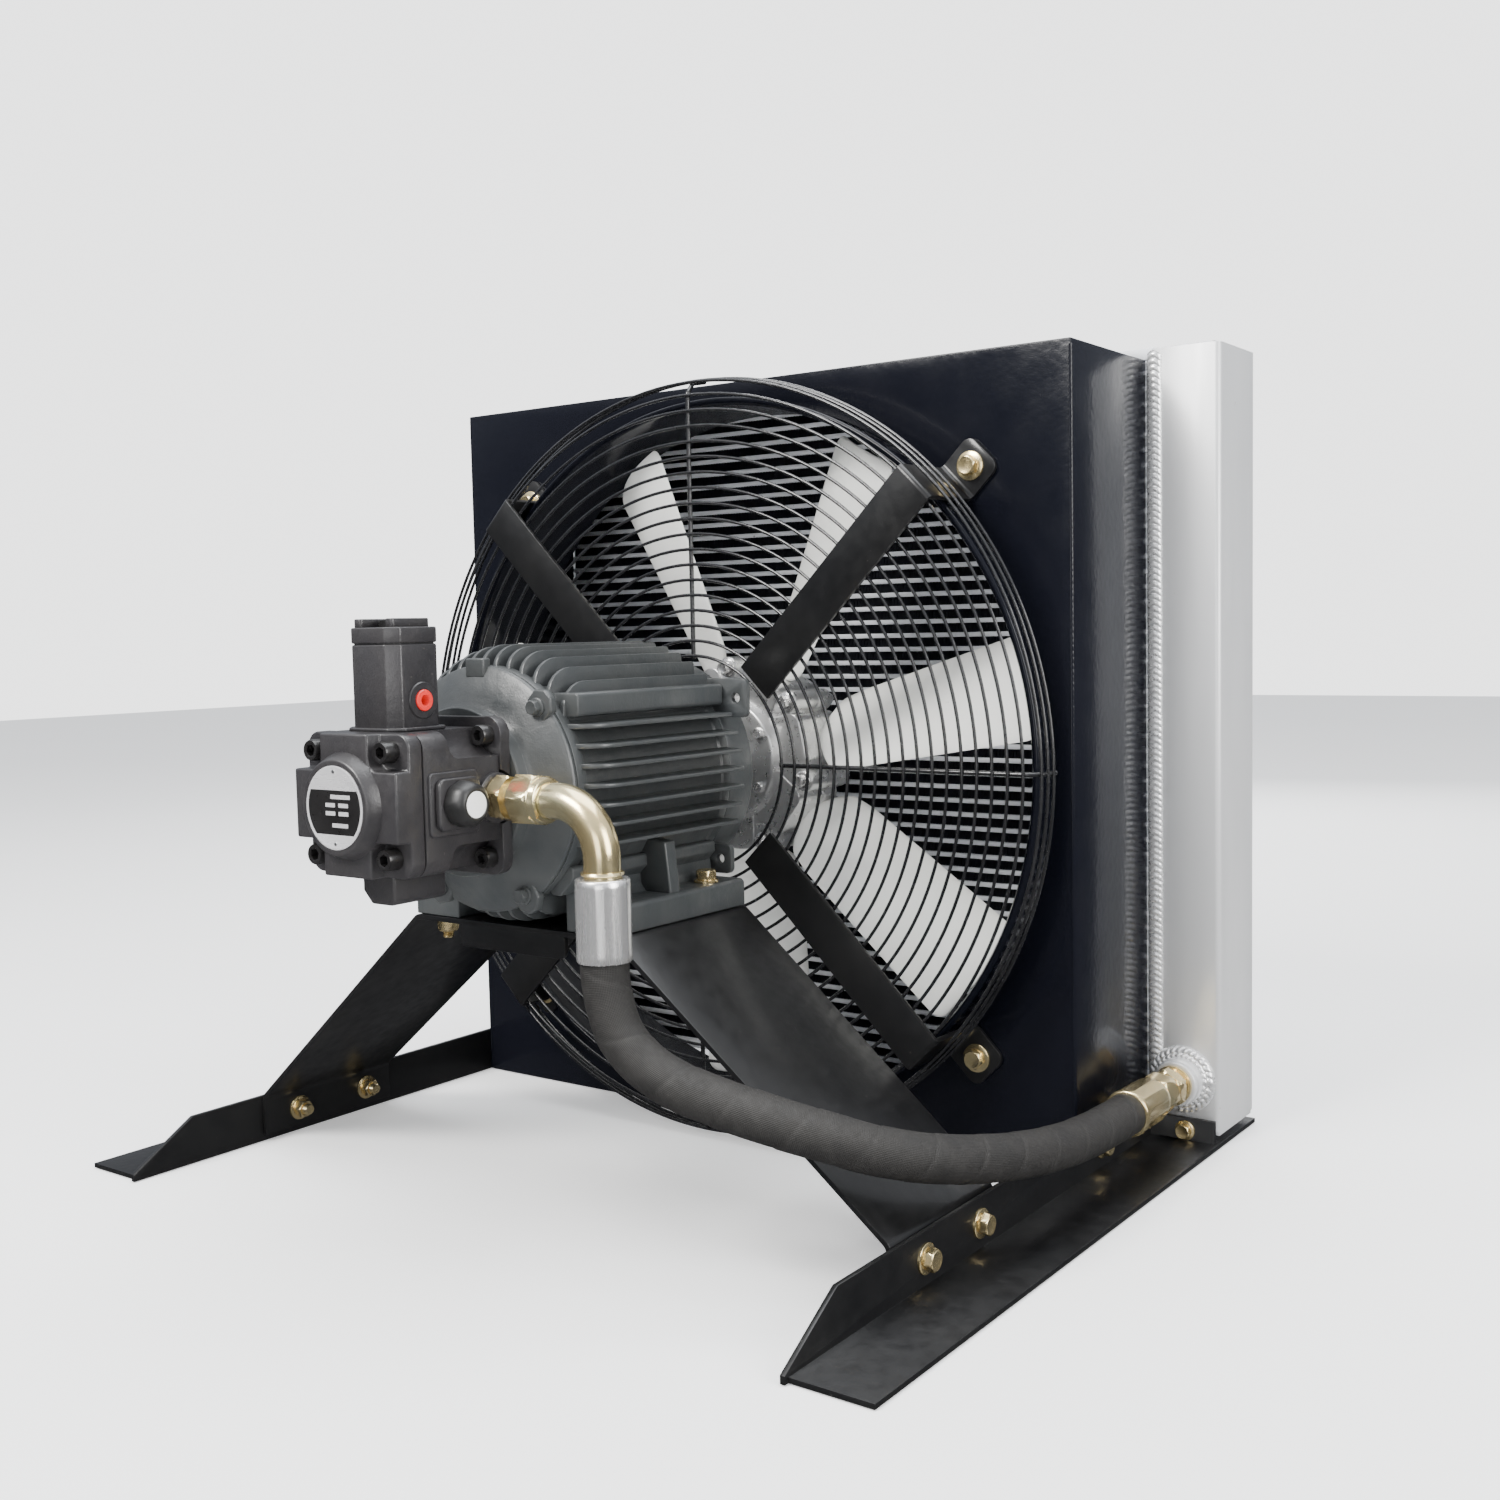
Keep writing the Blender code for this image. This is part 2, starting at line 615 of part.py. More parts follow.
def make_saddle():
    """One bent sheet: upright feet inside the rails, sloping sides, and a flat top for the motor."""
    right = (
        (SADDLE_HALF_BASE, SADDLE_FOOT_BOTTOM), (SADDLE_HALF_BASE, RAIL_HEIGHT), (SADDLE_HALF_TOP, SADDLE_TOP),
    )
    path = right + tuple((-x, z) for x, z in reversed(right))
    saddle = prism("motor_saddle", strip(path, SADDLE_THICKNESS), "Y", 0, 1, PAINT_SATIN)
    for corner in saddle.data.vertices:
        part = min(1, max(0, (corner.co.z - RAIL_HEIGHT) / (SADDLE_TOP - RAIL_HEIGHT)))
        end = round(corner.co.y)
        corner.co.y = SADDLE_BASE_SPAN[end] + part * (SADDLE_TOP_SPAN[end] - SADDLE_BASE_SPAN[end])
    lip = box(
        "saddle_lip", (-0.060, SADDLE_TOP_SPAN[0], SADDLE_TOP - LIP_DROP),
        (0.060, SADDLE_TOP_SPAN[0] + SADDLE_THICKNESS, SADDLE_TOP - 0.001),
    )
    join(saddle, lip)
    cut(saddle, foot_holes("saddle_holes", SADDLE_TOP))


def foot_holes(name, z):
    radius = FOOT_BOLT_RADIUS + GAP
    ends = (z - 0.03, z + 0.03)
    holes = [
        rod(f"{name}_{side}_{y}", radius, "Z", (side * FOOT_BOLT_X, y), *ends, 12)
        for side in (-1, 1) for y in FOOT_BOLT_YS
    ]
    return merged(name, holes)


def finned_outline():
    """The motor frame seen along the shaft: fins on four sides, side ledges above, and pads below."""
    pad = (
        (PAD_REACH, PAD_START), (PAD_REACH, PAD_CORNER), (PAD_CORNER, PAD_REACH), (PAD_START, PAD_REACH),
    )
    ledge = ((LEDGE_REACH, LEDGE_BOTTOM), (LEDGE_REACH, LEDGE_TOP))
    quarters = (
        (finned_side(SIDE_FIN_MIDDLE, SIDE_FIN_PITCH, SIDE_FINS, SIDE_TIP_RADIUS), ledge),
        (finned_side(0, TOP_FIN_PITCH, TOP_FINS, TOP_TIP_RADIUS), [(b, a) for a, b in reversed(ledge)]),
        (finned_side(-SIDE_FIN_MIDDLE, SIDE_FIN_PITCH, SIDE_FINS, SIDE_TIP_RADIUS), pad),
        (finned_side(0, BASE_FIN_PITCH, BASE_FINS, BASE_TIP_RADIUS), pad),
    )
    outline = []
    for quarter, (fins, corner) in enumerate(quarters):
        turn = math.radians(90 * quarter)
        outline += [
            (a * math.cos(turn) - b * math.sin(turn), AXIS_Z + a * math.sin(turn) + b * math.cos(turn))
            for a, b in [*fins, *corner]
        ]
    return outline


def make_motor_frame():
    frame = prism("motor_frame", finned_outline(), "Y", *MOTOR_SPAN, MOTOR_GREY)
    base = AXIS_Z - SHAFT_HEIGHT
    top = base + FOOT_THICKNESS
    added = []
    for side in (-1, 1):
        foot = (
            (side * FOOT_INNER, base), (side * FOOT_EDGE, base), (side * FOOT_EDGE, top),
            (side * 0.078, top), (side * 0.072, FOOT_ROOT), (side * FOOT_INNER, FOOT_ROOT),
        )
        added.append(prism(f"motor_foot_{side}", foot, "Y", *FOOT_SPAN))
        web = (
            (side * FOOT_INNER, top - 0.001), (side * WEB_EDGE, top - 0.001),
            (side * WEB_TOP_EDGE, WEB_TOP), (side * FOOT_INNER, WEB_TOP),
        )
        added += [prism(f"foot_web_{side}_{i}", web, "Y", *span) for i, span in enumerate(WEB_SPANS)]
    bore = rod("motor_bore", MOTOR_BORE, "Y", (0, AXIS_Z), MOTOR_SPAN[0] - MARGIN, MOTOR_SPAN[1] + MARGIN, 40)
    cut(join(frame, *added), bore, foot_holes("foot_holes", base))


def make_front_bell():
    """The drive-side bell: a shallow dome with a raised ring for the pump, and four bolt lugs."""
    front, back = FRONT_BELL_SPAN
    profile = (
        (0, front), (BELL_RING_RADIUS, front), (BELL_RING_RADIUS, BELL_DOME), (0.090, BELL_DOME + 0.009),
        (BELL_RADIUS, BELL_DOME + 0.013), (BELL_RADIUS, back), (0.070, back), (0.045, back - 0.004),
        (0, back - 0.004),
    )
    bell = turned("motor_front_bell", profile, "Y", (0, AXIS_Z), 40, MOTOR_GREY)
    lugs = []
    for degrees in FRONT_LUG_ANGLES:
        lug = box(f"front_lug_{degrees}", (0.060, BELL_DOME + 0.006, -0.011), (0.109, back - 0.0005, 0.011))
        lug.data.transform(turn_about_shaft(degrees))
        lugs.append(lug)
    step = box("bell_step", (-0.012, BELL_DOME + 0.008, AXIS_Z + 0.090), (0.012, back - 0.0005, AXIS_Z + 0.107))
    seat = rod("front_seat", BEARING_RADIUS + GAP, "Y", (0, AXIS_Z), back - 0.015, back + MARGIN, 32)
    hole = rod("front_shaft_hole", SHAFT_ROOM, "Y", (0, AXIS_Z), front - MARGIN, back + MARGIN, 24)
    cut(join(bell, merged("front_lugs", lugs), step), seat, hole, port_room("bell_port_room"))


def make_rear_bell():
    """The fan-side bell: a plain cup with a rounded edge, and block lugs beside the frame's corners."""
    front, back = REAR_BELL_SPAN
    profile = (
        (0, front), (REAR_BELL_RADIUS, front), (REAR_BELL_RADIUS, back - 0.006),
        (REAR_BELL_RADIUS - 0.003, back - 0.0015), (REAR_BELL_RADIUS - 0.007, back), (0, back),
    )
    bell = turned("motor_rear_bell", profile, "Y", (0, AXIS_Z), 40, MOTOR_GREY)
    lugs = [
        box(
            f"rear_lug_{side}_{low}", (side * inner, front + 0.0005, AXIS_Z + low),
            (side * outer, front + REAR_LUG_DEPTH, AXIS_Z + high),
        )
        for side in (-1, 1) for inner, outer, low, high in REAR_LUGS
    ]
    hollow = rod("rear_hollow", 0.078, "Y", (0, AXIS_Z), front - MARGIN, front + 0.010, 32)
    seat = rod("rear_seat", BEARING_RADIUS + GAP, "Y", (0, AXIS_Z), front - MARGIN, back - 0.007, 32)
    hole = rod("rear_shaft_hole", SHAFT_ROOM, "Y", (0, AXIS_Z), front - MARGIN, back + MARGIN, 24)
    cut(join(bell, merged("rear_lugs", lugs)), hollow, seat, hole)


def ring(name, inner, outer, low, high, count, finish, centre=(0, AXIS_Z)):
    profile = ((inner, low), (outer, low), (outer, high), (inner, high))
    return turned(name, profile, "Y", centre, count, finish)


def make_motor_insides():
    ring("motor_stator", STATOR_BORE, MOTOR_BORE - GAP, *STATOR_SPAN, 32, STATOR_STEEL)
    front = FRONT_BELL_SPAN[1] + 0.0005
    ring("bearing_front", SHAFT_RADIUS + GAP, BEARING_RADIUS, front - BEARING_WIDTH, front, 24, STEEL)
    back = REAR_BELL_SPAN[1] - 0.007 - GAP
    ring("bearing_rear", SHAFT_RADIUS + GAP, BEARING_RADIUS, back - BEARING_WIDTH, back, 24, STEEL)


def make_terminal_box():
    low, high = BOX_LOW, BOX_HIGH
    lid_depth = 0.010
    wall = 0.005
    middle = ((low[1] + high[1]) / 2, (low[2] + high[2]) / 2)
    half = ((high[1] - low[1]) / 2, (high[2] - low[2]) / 2)
    outline = rounded_rectangle(*half, 0.010, middle, 3)
    box_body = prism("terminal_box", outline, "X", low[0] + lid_depth + GAP, high[0], MOTOR_GREY)
    inner = rounded_rectangle(half[0] - wall, half[1] - wall, 0.006, middle, 3)
    room = prism("terminal_room", inner, "X", low[0], high[0] - 0.006)
    gland = ((low[0] + high[0]) / 2, middle[0])
    neck = 0.0090
    hole = rod("gland_hole", neck + GAP, "Z", gland, low[2] - MARGIN, low[2] + MARGIN, 16)
    cut(box_body, room, hole)
    prism("terminal_box_lid", outline, "X", low[0], low[0] + lid_depth, MOTOR_GREY)
    profile = (
        (0.0065, low[2] - 0.022), (0.0105, low[2] - 0.022), (0.0125, low[2] - 0.014), (0.0125, low[2] - GAP),
        (neck, low[2] - GAP), (neck, low[2] + 0.006), (0.0065, low[2] + 0.006),
    )
    turned("cable_gland", profile, "Z", gland, 16, BLACK_PLASTIC)


def make_foot_bolts():
    """Hexagon bolt, washer and nut through each motor foot and the saddle."""
    foot_top = AXIS_Z - SHAFT_HEIGHT + FOOT_THICKNESS
    under = SADDLE_TOP - SADDLE_THICKNESS
    tip = under - 0.018
    washer_radius = 0.0105
    head_radius = 0.0090
    spots = [(side * FOOT_BOLT_X, y) for side in (-1, 1) for y in FOOT_BOLT_YS]
    for number, spot in enumerate(spots, 1):
        name = f"motor_foot_bolt_{number}"
        bolt = rod(name, FOOT_BOLT_RADIUS, "Z", spot, tip, foot_top + 0.004, 12, ZINC)
        washer = rod(f"{name}_washer", washer_radius, "Z", spot, foot_top + GAP, foot_top + 0.0022, 16)
        head = rod(f"{name}_head", head_radius, "Z", spot, foot_top + 0.0015, foot_top + 0.0087, 6)
        lower = rod(f"{name}_lower", washer_radius, "Z", spot, under - 0.0022, under - GAP, 16)
        nut = rod(f"{name}_nut", head_radius, "Z", spot, under - 0.0100, under - 0.0015, 6)
        join(bolt, washer, head, lower, nut)


def port_room(name):
    """Room for the outlet neck and adapter in the parts behind the pump body."""
    return rod(name, PORT_ROOM_RADIUS, "X", (PORT_Y, AXIS_Z), 0.028, FLANGE_HALF + 0.030, 24)


def make_pump_flange():
    outline = rounded_rectangle(FLANGE_HALF, FLANGE_HALF_HEIGHT, FLANGE_CORNER, (0, AXIS_Z))
    front, back = FLANGE_SPAN
    flange = prism("pump_flange", outline, "Y", front, back, PUMP_GREY)
    hole = rod("flange_hole", SHAFT_ROOM, "Y", (0, AXIS_Z), front - MARGIN, back + MARGIN, 24)
    cut(flange, hole, port_room("flange_port_room"))


def make_pump_body():
    """The body: squared at the cover, scooped at the corners next to the flange's screws."""
    front, back = BODY_SPAN
    outline = rounded_rectangle(BODY_HALF, BODY_HALF_HEIGHT, 0.014, (0, AXIS_Z), 3)
    body = prism("pump_body", outline, "Y", front, back, PUMP_GREY)
    sump = prism("pump_sump", SUMP_OUTLINE, "Y", front + 0.0015, back - 0.021)
    pad_outline = rounded_rectangle(0.0245, 0.0235, 0.005, (ADJUSTER_Y, ADJUSTER_Z), 2)
    pad = prism("pump_pad", pad_outline, "X", BODY_HALF - 0.004, PAD_FACE)
    neck = rod("outlet_neck", NECK_RADIUS, "X", (PORT_Y, AXIS_Z), 0.030, NECK_FACE, 24)
    suction = rod("suction_neck", SUCTION_RADIUS, "X", (ADJUSTER_Y, AXIS_Z), SUCTION_FACE, -0.046, 24)
    corners = [(a * SCOOP_X, AXIS_Z + b * SCOOP_Z) for a in (-1, 1) for b in (-1, 1)]
    scoops = [
        rod(f"scoop_{i}", SCOOP_RADIUS, "Y", corner, SCOOP_START, back + MARGIN, 20)
        for i, corner in enumerate(corners)
    ]
    cavity = rod("pump_cavity", CAVITY_RADIUS, "Y", (0, AXIS_Z), front - MARGIN, CAVITY_BACK, 36)
    bore = rod("pump_bore", SHAFT_RADIUS + 0.001, "Y", (0, AXIS_Z), CAVITY_BACK - MARGIN, back + MARGIN, 24)
    inlet = rod("suction_bore", SUCTION_BORE, "X", (ADJUSTER_Y, AXIS_Z), SUCTION_FACE - MARGIN, -0.030, 20)
    cut(join(body, sump, pad, neck, suction), merged("pump_scoops", scoops), cavity, bore, inlet)


def make_pump_cover():
    """The front cover, notched at its corners for the socket screws, with a round boss in its middle."""
    front, back = COVER_SPAN
    outline = rounded_rectangle(COVER_HALF, COVER_HALF_HEIGHT, 0.010, (0, COVER_Z), 3)
    cover = prism("pump_cover", outline, "Y", front, back, PUMP_GREY)
    buried = front + 0.004
    profile = (
        (0, COVER_BOSS_FRONT), (BOSS_FRONT_RADIUS, COVER_BOSS_FRONT), (BOSS_FOOT_RADIUS, front),
        (BOSS_FOOT_RADIUS, buried), (0, buried),
    )
    boss = turned("cover_boss", profile, "Y", (0, AXIS_Z), 32)
    notch_middle = COVER_ARM + NOTCH_HALF
    notches = [
        prism(
            f"notch_{a}_{b}",
            rounded_rectangle(NOTCH_HALF, NOTCH_HALF, 0.009, (a * notch_middle, COVER_Z + b * notch_middle), 3),
            "Y", front - MARGIN, NOTCH_FLOOR,
        )
        for a in (-1, 1) for b in (-1, 1)
    ]
    seat_floor = COVER_BOSS_FRONT + 0.0006
    seat = rod("label_seat", LABEL_RADIUS + GAP, "Y", (0, AXIS_Z), COVER_BOSS_FRONT - MARGIN, seat_floor, 32)
    cut(join(cover, boss), merged("cover_notches", notches), seat)
    plate_front = COVER_BOSS_FRONT - 0.0004
    rod("pump_label_plate", LABEL_RADIUS, "Y", (0, AXIS_Z), plate_front, seat_floor - GAP, 32, LABEL_PLATE)


def make_governor():
    """The pressure compensator: housing, cap with two raised blocks, and the set screw between them."""
    y = GOVERNOR_Y
    outline = rounded_rectangle(GOVERNOR_HALF_X, GOVERNOR_HALF_Y, 0.006, (0, y), 2)
    bottom = AXIS_Z + BODY_HALF_HEIGHT + GAP
    housing = prism("compensator_housing", outline, "Z", bottom, CAP_SEAM, PUMP_GREY)
    drain = (y + 0.0045, AXIS_Z + 0.0742)
    drain_boss = rod("drain_boss", 0.0138, "X", drain, 0.020, 0.0275, 20)
    drain_bore = rod("drain_bore", PLUG_RADIUS + GAP, "X", drain, 0.014, 0.040, 16)
    spring_bore = rod("spring_bore", 0.011, "Z", (0, y), CAP_SEAM - 0.034, CAP_SEAM + MARGIN, 20)
    cut(join(housing, drain_boss), drain_bore, spring_bore)
    profile = ((0.0033, 0.0165), (PLUG_RADIUS, 0.0165), (PLUG_RADIUS, 0.0288), (0.0033, 0.0288))
    turned("drain_plug", profile, "X", drain, 16, RED_PLASTIC)
    cap = prism("compensator_cap", outline, "Z", CAP_SEAM + GAP, CAP_TOP, PUMP_GREY)
    blocks = []
    for side in (-1, 1):
        ends = sorted((side * BLOCK_INNER, side * BLOCK_OUTER))
        half = GOVERNOR_HALF_Y - 0.005
        low = (ends[0], y - half, CAP_TOP - 0.001)
        blocks.append(box(f"cap_block_{side}", low, (ends[1], y + half, BLOCK_TOP)))
    cap_bore = rod("cap_bore", SCREW_RADIUS + GAP, "Z", (0, y), CAP_SEAM - MARGIN, BLOCK_TOP, 20)
    cut(join(cap, merged("cap_blocks", blocks)), cap_bore)
    head_bottom = CAP_TOP + GAP
    screw = rod("pressure_screw", SCREW_RADIUS, "Z", (0, y), CAP_SEAM - 0.028, head_bottom + 0.001, 18, STEEL)
    head = rod("screw_head", 0.0095, "Z", (0, y), head_bottom, SCREW_TOP, 18)
    groove = box("screw_groove", (-0.012, y - 0.0009, SCREW_TOP - 0.002), (0.012, y + 0.0009, SCREW_TOP + 0.01))
    cut(join(screw, head), groove)
    hang_on(joint_axis("pressure_screw_axis", (0, y, CAP_SEAM)), screw)


def make_adjuster():
    """The flow adjuster on the pump's side: a square boss, and a knob that turns on its spindle."""
    centre = (ADJUSTER_Y, ADJUSTER_Z)
    start = PAD_FACE + GAP
    face = start + 0.005
    outline = rounded_rectangle(0.0205, 0.0190, 0.006, centre, 2)
    boss = prism("adjuster_boss", outline, "X", start, face, PUMP_GREY)
    spindle = 0.005
    cut(boss, rod("adjuster_hole", spindle + GAP, "X", centre, start - MARGIN, face + MARGIN, 14))
    knob_start = face + GAP
    profile = (
        (0, start + 0.001), (spindle, start + 0.001), (spindle, knob_start), (KNOB_RADIUS, knob_start),
        (KNOB_RADIUS, knob_start + 0.0085), (0.0150, knob_start + 0.0140), (0.0105, knob_start + 0.0164),
        (0, knob_start + 0.0164),
    )
    knob = turned("adjuster_knob", profile, "X", centre, 12, BLACK_PLASTIC)
    hang_on(joint_axis("adjuster_axis", (start, *centre)), knob)


def make_pump_insides():
    """The cam ring, which slides up from full delivery to none."""
    middle = AXIS_Z + CAM_OFFSET
    cam = ring("pump_cam_ring", CAM_INNER, CAM_OUTER, *CAM_SPAN, 32, STEEL, (0, middle))
    hang_on(joint_axis("cam_ring_axis", (0, CAM_SPAN[0], middle)), cam)


def make_outlet_fittings():
    """Adapter and nut screwed into the pump, and the bent tube that turns down to the hose."""
    centre = (PORT_Y, AXIS_Z)
    start = NECK_FACE + GAP
    neck_end = start + 0.024
    adapter = rod("outlet_adapter", 0.0180, "X", centre, start, start + 0.016, 6, ZINC)
    join(adapter, rod("adapter_neck", 0.0130, "X", centre, start + 0.015, neck_end, 20))
    nut_start = neck_end + GAP
    nut_end = nut_start + 0.027
    nut = rod("hose_nut", 0.0205, "X", centre, nut_start, nut_start + 0.020, 6, ZINC)
    join(nut, rod("nut_collar", 0.0172, "X", centre, nut_start + 0.019, nut_end, 24))
    bend_x = ELBOW_X - ELBOW_BEND
    bend_z = AXIS_Z - ELBOW_BEND
    path = [(nut_end + GAP, PORT_Y, AXIS_Z)]
    steps = 8
    for step in range(steps + 1):
        angle = math.pi / 2 * (1 - step / steps)
        path.append((bend_x + ELBOW_BEND * math.cos(angle), PORT_Y, bend_z + ELBOW_BEND * math.sin(angle)))
    path.append((ELBOW_X, PORT_Y, FERRULE_TOP + GAP))
    tube("outlet_elbow", path, ELBOW_RADIUS, 4, ZINC)
    profile = ferrule_profile(FERRULE_BOTTOM, FERRULE_TOP)
    turned("pump_ferrule", profile, "Z", (ELBOW_X, PORT_Y), 28, FERRULE_METAL)


def ferrule_profile(start, end):
    chamfer = 0.002
    return (
        (0, start), (FERRULE_RADIUS, start), (FERRULE_RADIUS, end - chamfer), (FERRULE_RADIUS - chamfer, end),
        (0, end),
    )


def tube(name, path, radius, resolution, finish):
    curve = bpy.data.curves.new(name, "CURVE")
    curve.dimensions = "3D"
    curve.bevel_depth = radius
    curve.bevel_resolution = resolution
    curve.use_fill_caps = True
    spline = curve.splines.new("POLY")
    spline.points.add(len(path) - 1)
    for point, spot in zip(spline.points, path):
        point.co = (*spot, 1)
    curve.materials.append(look(finish))
    spline.use_smooth = True
    piece = bpy.data.objects.new(name, curve)
    bpy.context.scene.collection.objects.link(piece)
    return piece


def smooth_route(route, steps):
    """Points on a Catmull-Rom curve through the route. Its first and last stretches are straight."""
    points = [Vector(spot) for spot in route]
    line = [points[0]]
    for a, b, c, d in zip(points, points[1:], points[2:], points[3:]):
        for step in range(steps):
            t = step / steps
            bend = (2 * a - 5 * b + 4 * c - d) * t**2 + (3 * b - a - 3 * c + d) * t**3
            line.append(0.5 * (2 * b + (c - a) * t + bend))
    return line + points[-2:]


def make_hose():
    tube("hose", smooth_route(HOSE_ROUTE, 2), HOSE_RADIUS, 4, HOSE_RUBBER)
    centre = (HOSE_ROUTE[-1][0], HOSE_ROUTE[-1][2])
    start = HOSE_ROUTE[-1][1] + GAP
    end = start + 0.056
    turned("tank_ferrule", ferrule_profile(start, end), "Y", centre, 28, ZINC)
    nut_start = end + GAP
    face = CORE_FRONT - BOSS_LENGTH - GAP
    adapter = rod("tank_adapter", 0.0190, "Y", centre, nut_start, nut_start + 0.022, 6, ZINC)
    neck = rod("tank_adapter_neck", 0.0150, "Y", centre, nut_start + 0.021, face, 24)
    stub = rod("tank_adapter_stub", PORT_BORE - GAP, "Y", centre, face - 0.001, face + 0.012, 20)
    join(adapter, neck, stub)


def blade_section(radius, chord, pitch, thickness, camber):
    """Eight points around the blade at one radius, in the frame of a blade that points along +X."""
    turn = math.radians(pitch)
    along = Vector((0, -math.sin(turn), -math.cos(turn)))
    out = Vector((0, -math.cos(turn), math.sin(turn)))
    return [
        Vector((radius, 0, 0)) + along * (a * chord) + out * (b * thickness + camber * (1 - 4 * a * a))
        for a, b in BLADE_RIM
    ]


def blade_mesh():
    """A broad twisted blade on a round stem."""
    stem = 1.8 * STEM_RADIUS
    sections = [(radius, stem, ROOT_PITCH, stem, 0) for radius in (STEM_START, STEM_END)] + list(BLADE_SECTIONS)
    points = []
    for section in sections:
        points += blade_section(*section)
    sides = len(BLADE_RIM)
    last = len(sections) - 1
    faces = [tuple(range(sides)), tuple(last * sides + i for i in reversed(range(sides)))]
    for row in range(0, last * sides, sides):
        for i in range(sides):
            j = (i + 1) % sides
            faces.append((row + i, row + j, row + sides + j, row + sides + i))
    return mesh_from("fan_blade", points, faces)


def make_hub_half(name, side, face, disc, sockets):
    """One clamping half of the hub, with bolt ears between the blades' half-round sockets."""
    inner = FAN_Y + side * GAP
    face = FAN_Y + side * face
    disc = FAN_Y + side * disc
    profile = (
        (HUB_BORE, inner), (HUB_RADIUS, inner), (HUB_RADIUS, face - side * 0.003),
        (HUB_RADIUS - 0.003, face), (0.061, face), (0.057, disc), (HUB_BORE, disc),
    )
    half = turned(name, profile, "Y", (0, AXIS_Z), 42, ALUMINIUM)
    step = 2 * math.pi / BLADE_COUNT
    turn = math.radians(BLADE_FIRST_ANGLE) - step / 2
    ends = sorted((inner, face - side * 0.0015))
    ears = [
        rod(f"{name}_ear_{i}", EAR_RADIUS, "Y", (x, AXIS_Z + z), *ends, 16)
        for i, (x, z) in enumerate(circle(EAR_CIRCLE, BLADE_COUNT, turn=turn))
    ]
    return cut(join(half, merged(f"{name}_ears", ears)), sockets)


def make_fan():
    """The rotating group: shaft, rotors, hub and blades, all on the shaft's axis."""
    axis = joint_axis("fan_axis", (0, FAN_Y, AXIS_Z))
    to_fan = Matrix.Translation((0, FAN_Y, 0))
    sockets = []
    angles = [BLADE_FIRST_ANGLE - i * 360 / BLADE_COUNT for i in range(BLADE_COUNT)]
    for number, degrees in enumerate(angles, 1):
        ends = (STEM_START - 0.001, HUB_RADIUS + 0.003)
        socket = rod(f"socket_{number}", STEM_RADIUS + 0.0006, "X", (0, 0), *ends, 16)
        socket.data.transform(to_fan @ turn_about_shaft(degrees))
        sockets.append(socket)
    sockets = merged("hub_sockets", sockets)
    front = make_hub_half("fan_hub_front", -1, HUB_FRONT_FACE, HUB_FRONT_DISC, sockets)
    rear = make_hub_half("fan_hub_rear", 1, HUB_REAR_FACE, HUB_REAR_DISC, sockets)
    hang_on(axis, front, rear)
    mesh = blade_mesh()
    for number, degrees in enumerate(angles, 1):
        blade = make_object(f"fan_blade_{number}", mesh)
        blade.hide_render = False
        blade.display_type = "TEXTURED"
        blade.rotation_euler.y = math.radians(-degrees)
        blade.parent = axis
    mesh.materials.append(look(BLADE_PLASTIC))
    shaft = rod("motor_shaft", SHAFT_RADIUS, "Y", (0, AXIS_Z), *SHAFT_SPAN, 24, STEEL)
    bore = SHAFT_RADIUS + GAP / 2
    stack = (STATOR_SPAN[0] + 0.004, STATOR_SPAN[1] - 0.004)
    rotor = ring("motor_rotor", bore, STATOR_BORE - 0.0005, *stack, 32, STATOR_STEEL)
    vanes = (CAM_SPAN[0] + 0.0005, CAM_SPAN[1] - 0.0005)
    pump_rotor = ring("pump_rotor", bore, ROTOR_RADIUS, *vanes, 24, STEEL)
    hang_on(axis, shaft, rotor, pump_rotor)


def build():
    for old in list(bpy.data.objects):
        bpy.data.objects.remove(old)
    make_cowl()
    make_collar()
    make_guard()
    make_arms()
    make_core()
    make_tank("tank_right", 1, INLET_Z)
    make_tank("tank_left", -1, OUTLET_Z)
    make_outlet_plug()
    make_rails()
    make_saddle()
    make_motor_frame()
    make_front_bell()
    make_rear_bell()
    make_motor_insides()
    make_terminal_box()
    make_foot_bolts()
    make_pump_flange()
    make_pump_body()
    make_pump_cover()
    make_governor()
    make_adjuster()
    make_pump_insides()
    make_outlet_fittings()
    make_hose()
    make_fan()


build()
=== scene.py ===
"""The looks of the fan-cooled oil cooler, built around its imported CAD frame."""

import json
import math
import bmesh
import bpy
from mathutils import Matrix, Vector, noise


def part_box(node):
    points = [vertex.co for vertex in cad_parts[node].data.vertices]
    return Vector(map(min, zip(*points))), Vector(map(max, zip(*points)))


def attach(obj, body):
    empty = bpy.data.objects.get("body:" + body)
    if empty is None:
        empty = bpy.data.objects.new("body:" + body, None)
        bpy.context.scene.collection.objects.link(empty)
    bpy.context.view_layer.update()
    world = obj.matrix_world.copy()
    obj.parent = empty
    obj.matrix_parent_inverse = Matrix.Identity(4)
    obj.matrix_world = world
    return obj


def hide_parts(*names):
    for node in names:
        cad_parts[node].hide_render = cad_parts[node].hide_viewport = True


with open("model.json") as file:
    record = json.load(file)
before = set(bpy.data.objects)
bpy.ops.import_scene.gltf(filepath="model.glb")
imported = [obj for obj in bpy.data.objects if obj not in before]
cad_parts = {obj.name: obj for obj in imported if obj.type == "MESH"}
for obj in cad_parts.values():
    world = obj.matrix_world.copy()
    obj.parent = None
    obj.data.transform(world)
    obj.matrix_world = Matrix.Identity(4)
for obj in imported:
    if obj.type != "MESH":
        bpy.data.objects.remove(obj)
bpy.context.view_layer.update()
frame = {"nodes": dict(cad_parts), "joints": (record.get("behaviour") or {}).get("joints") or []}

TAU = 2 * math.pi
FRAME = "frame"
FAN = "fan_group"

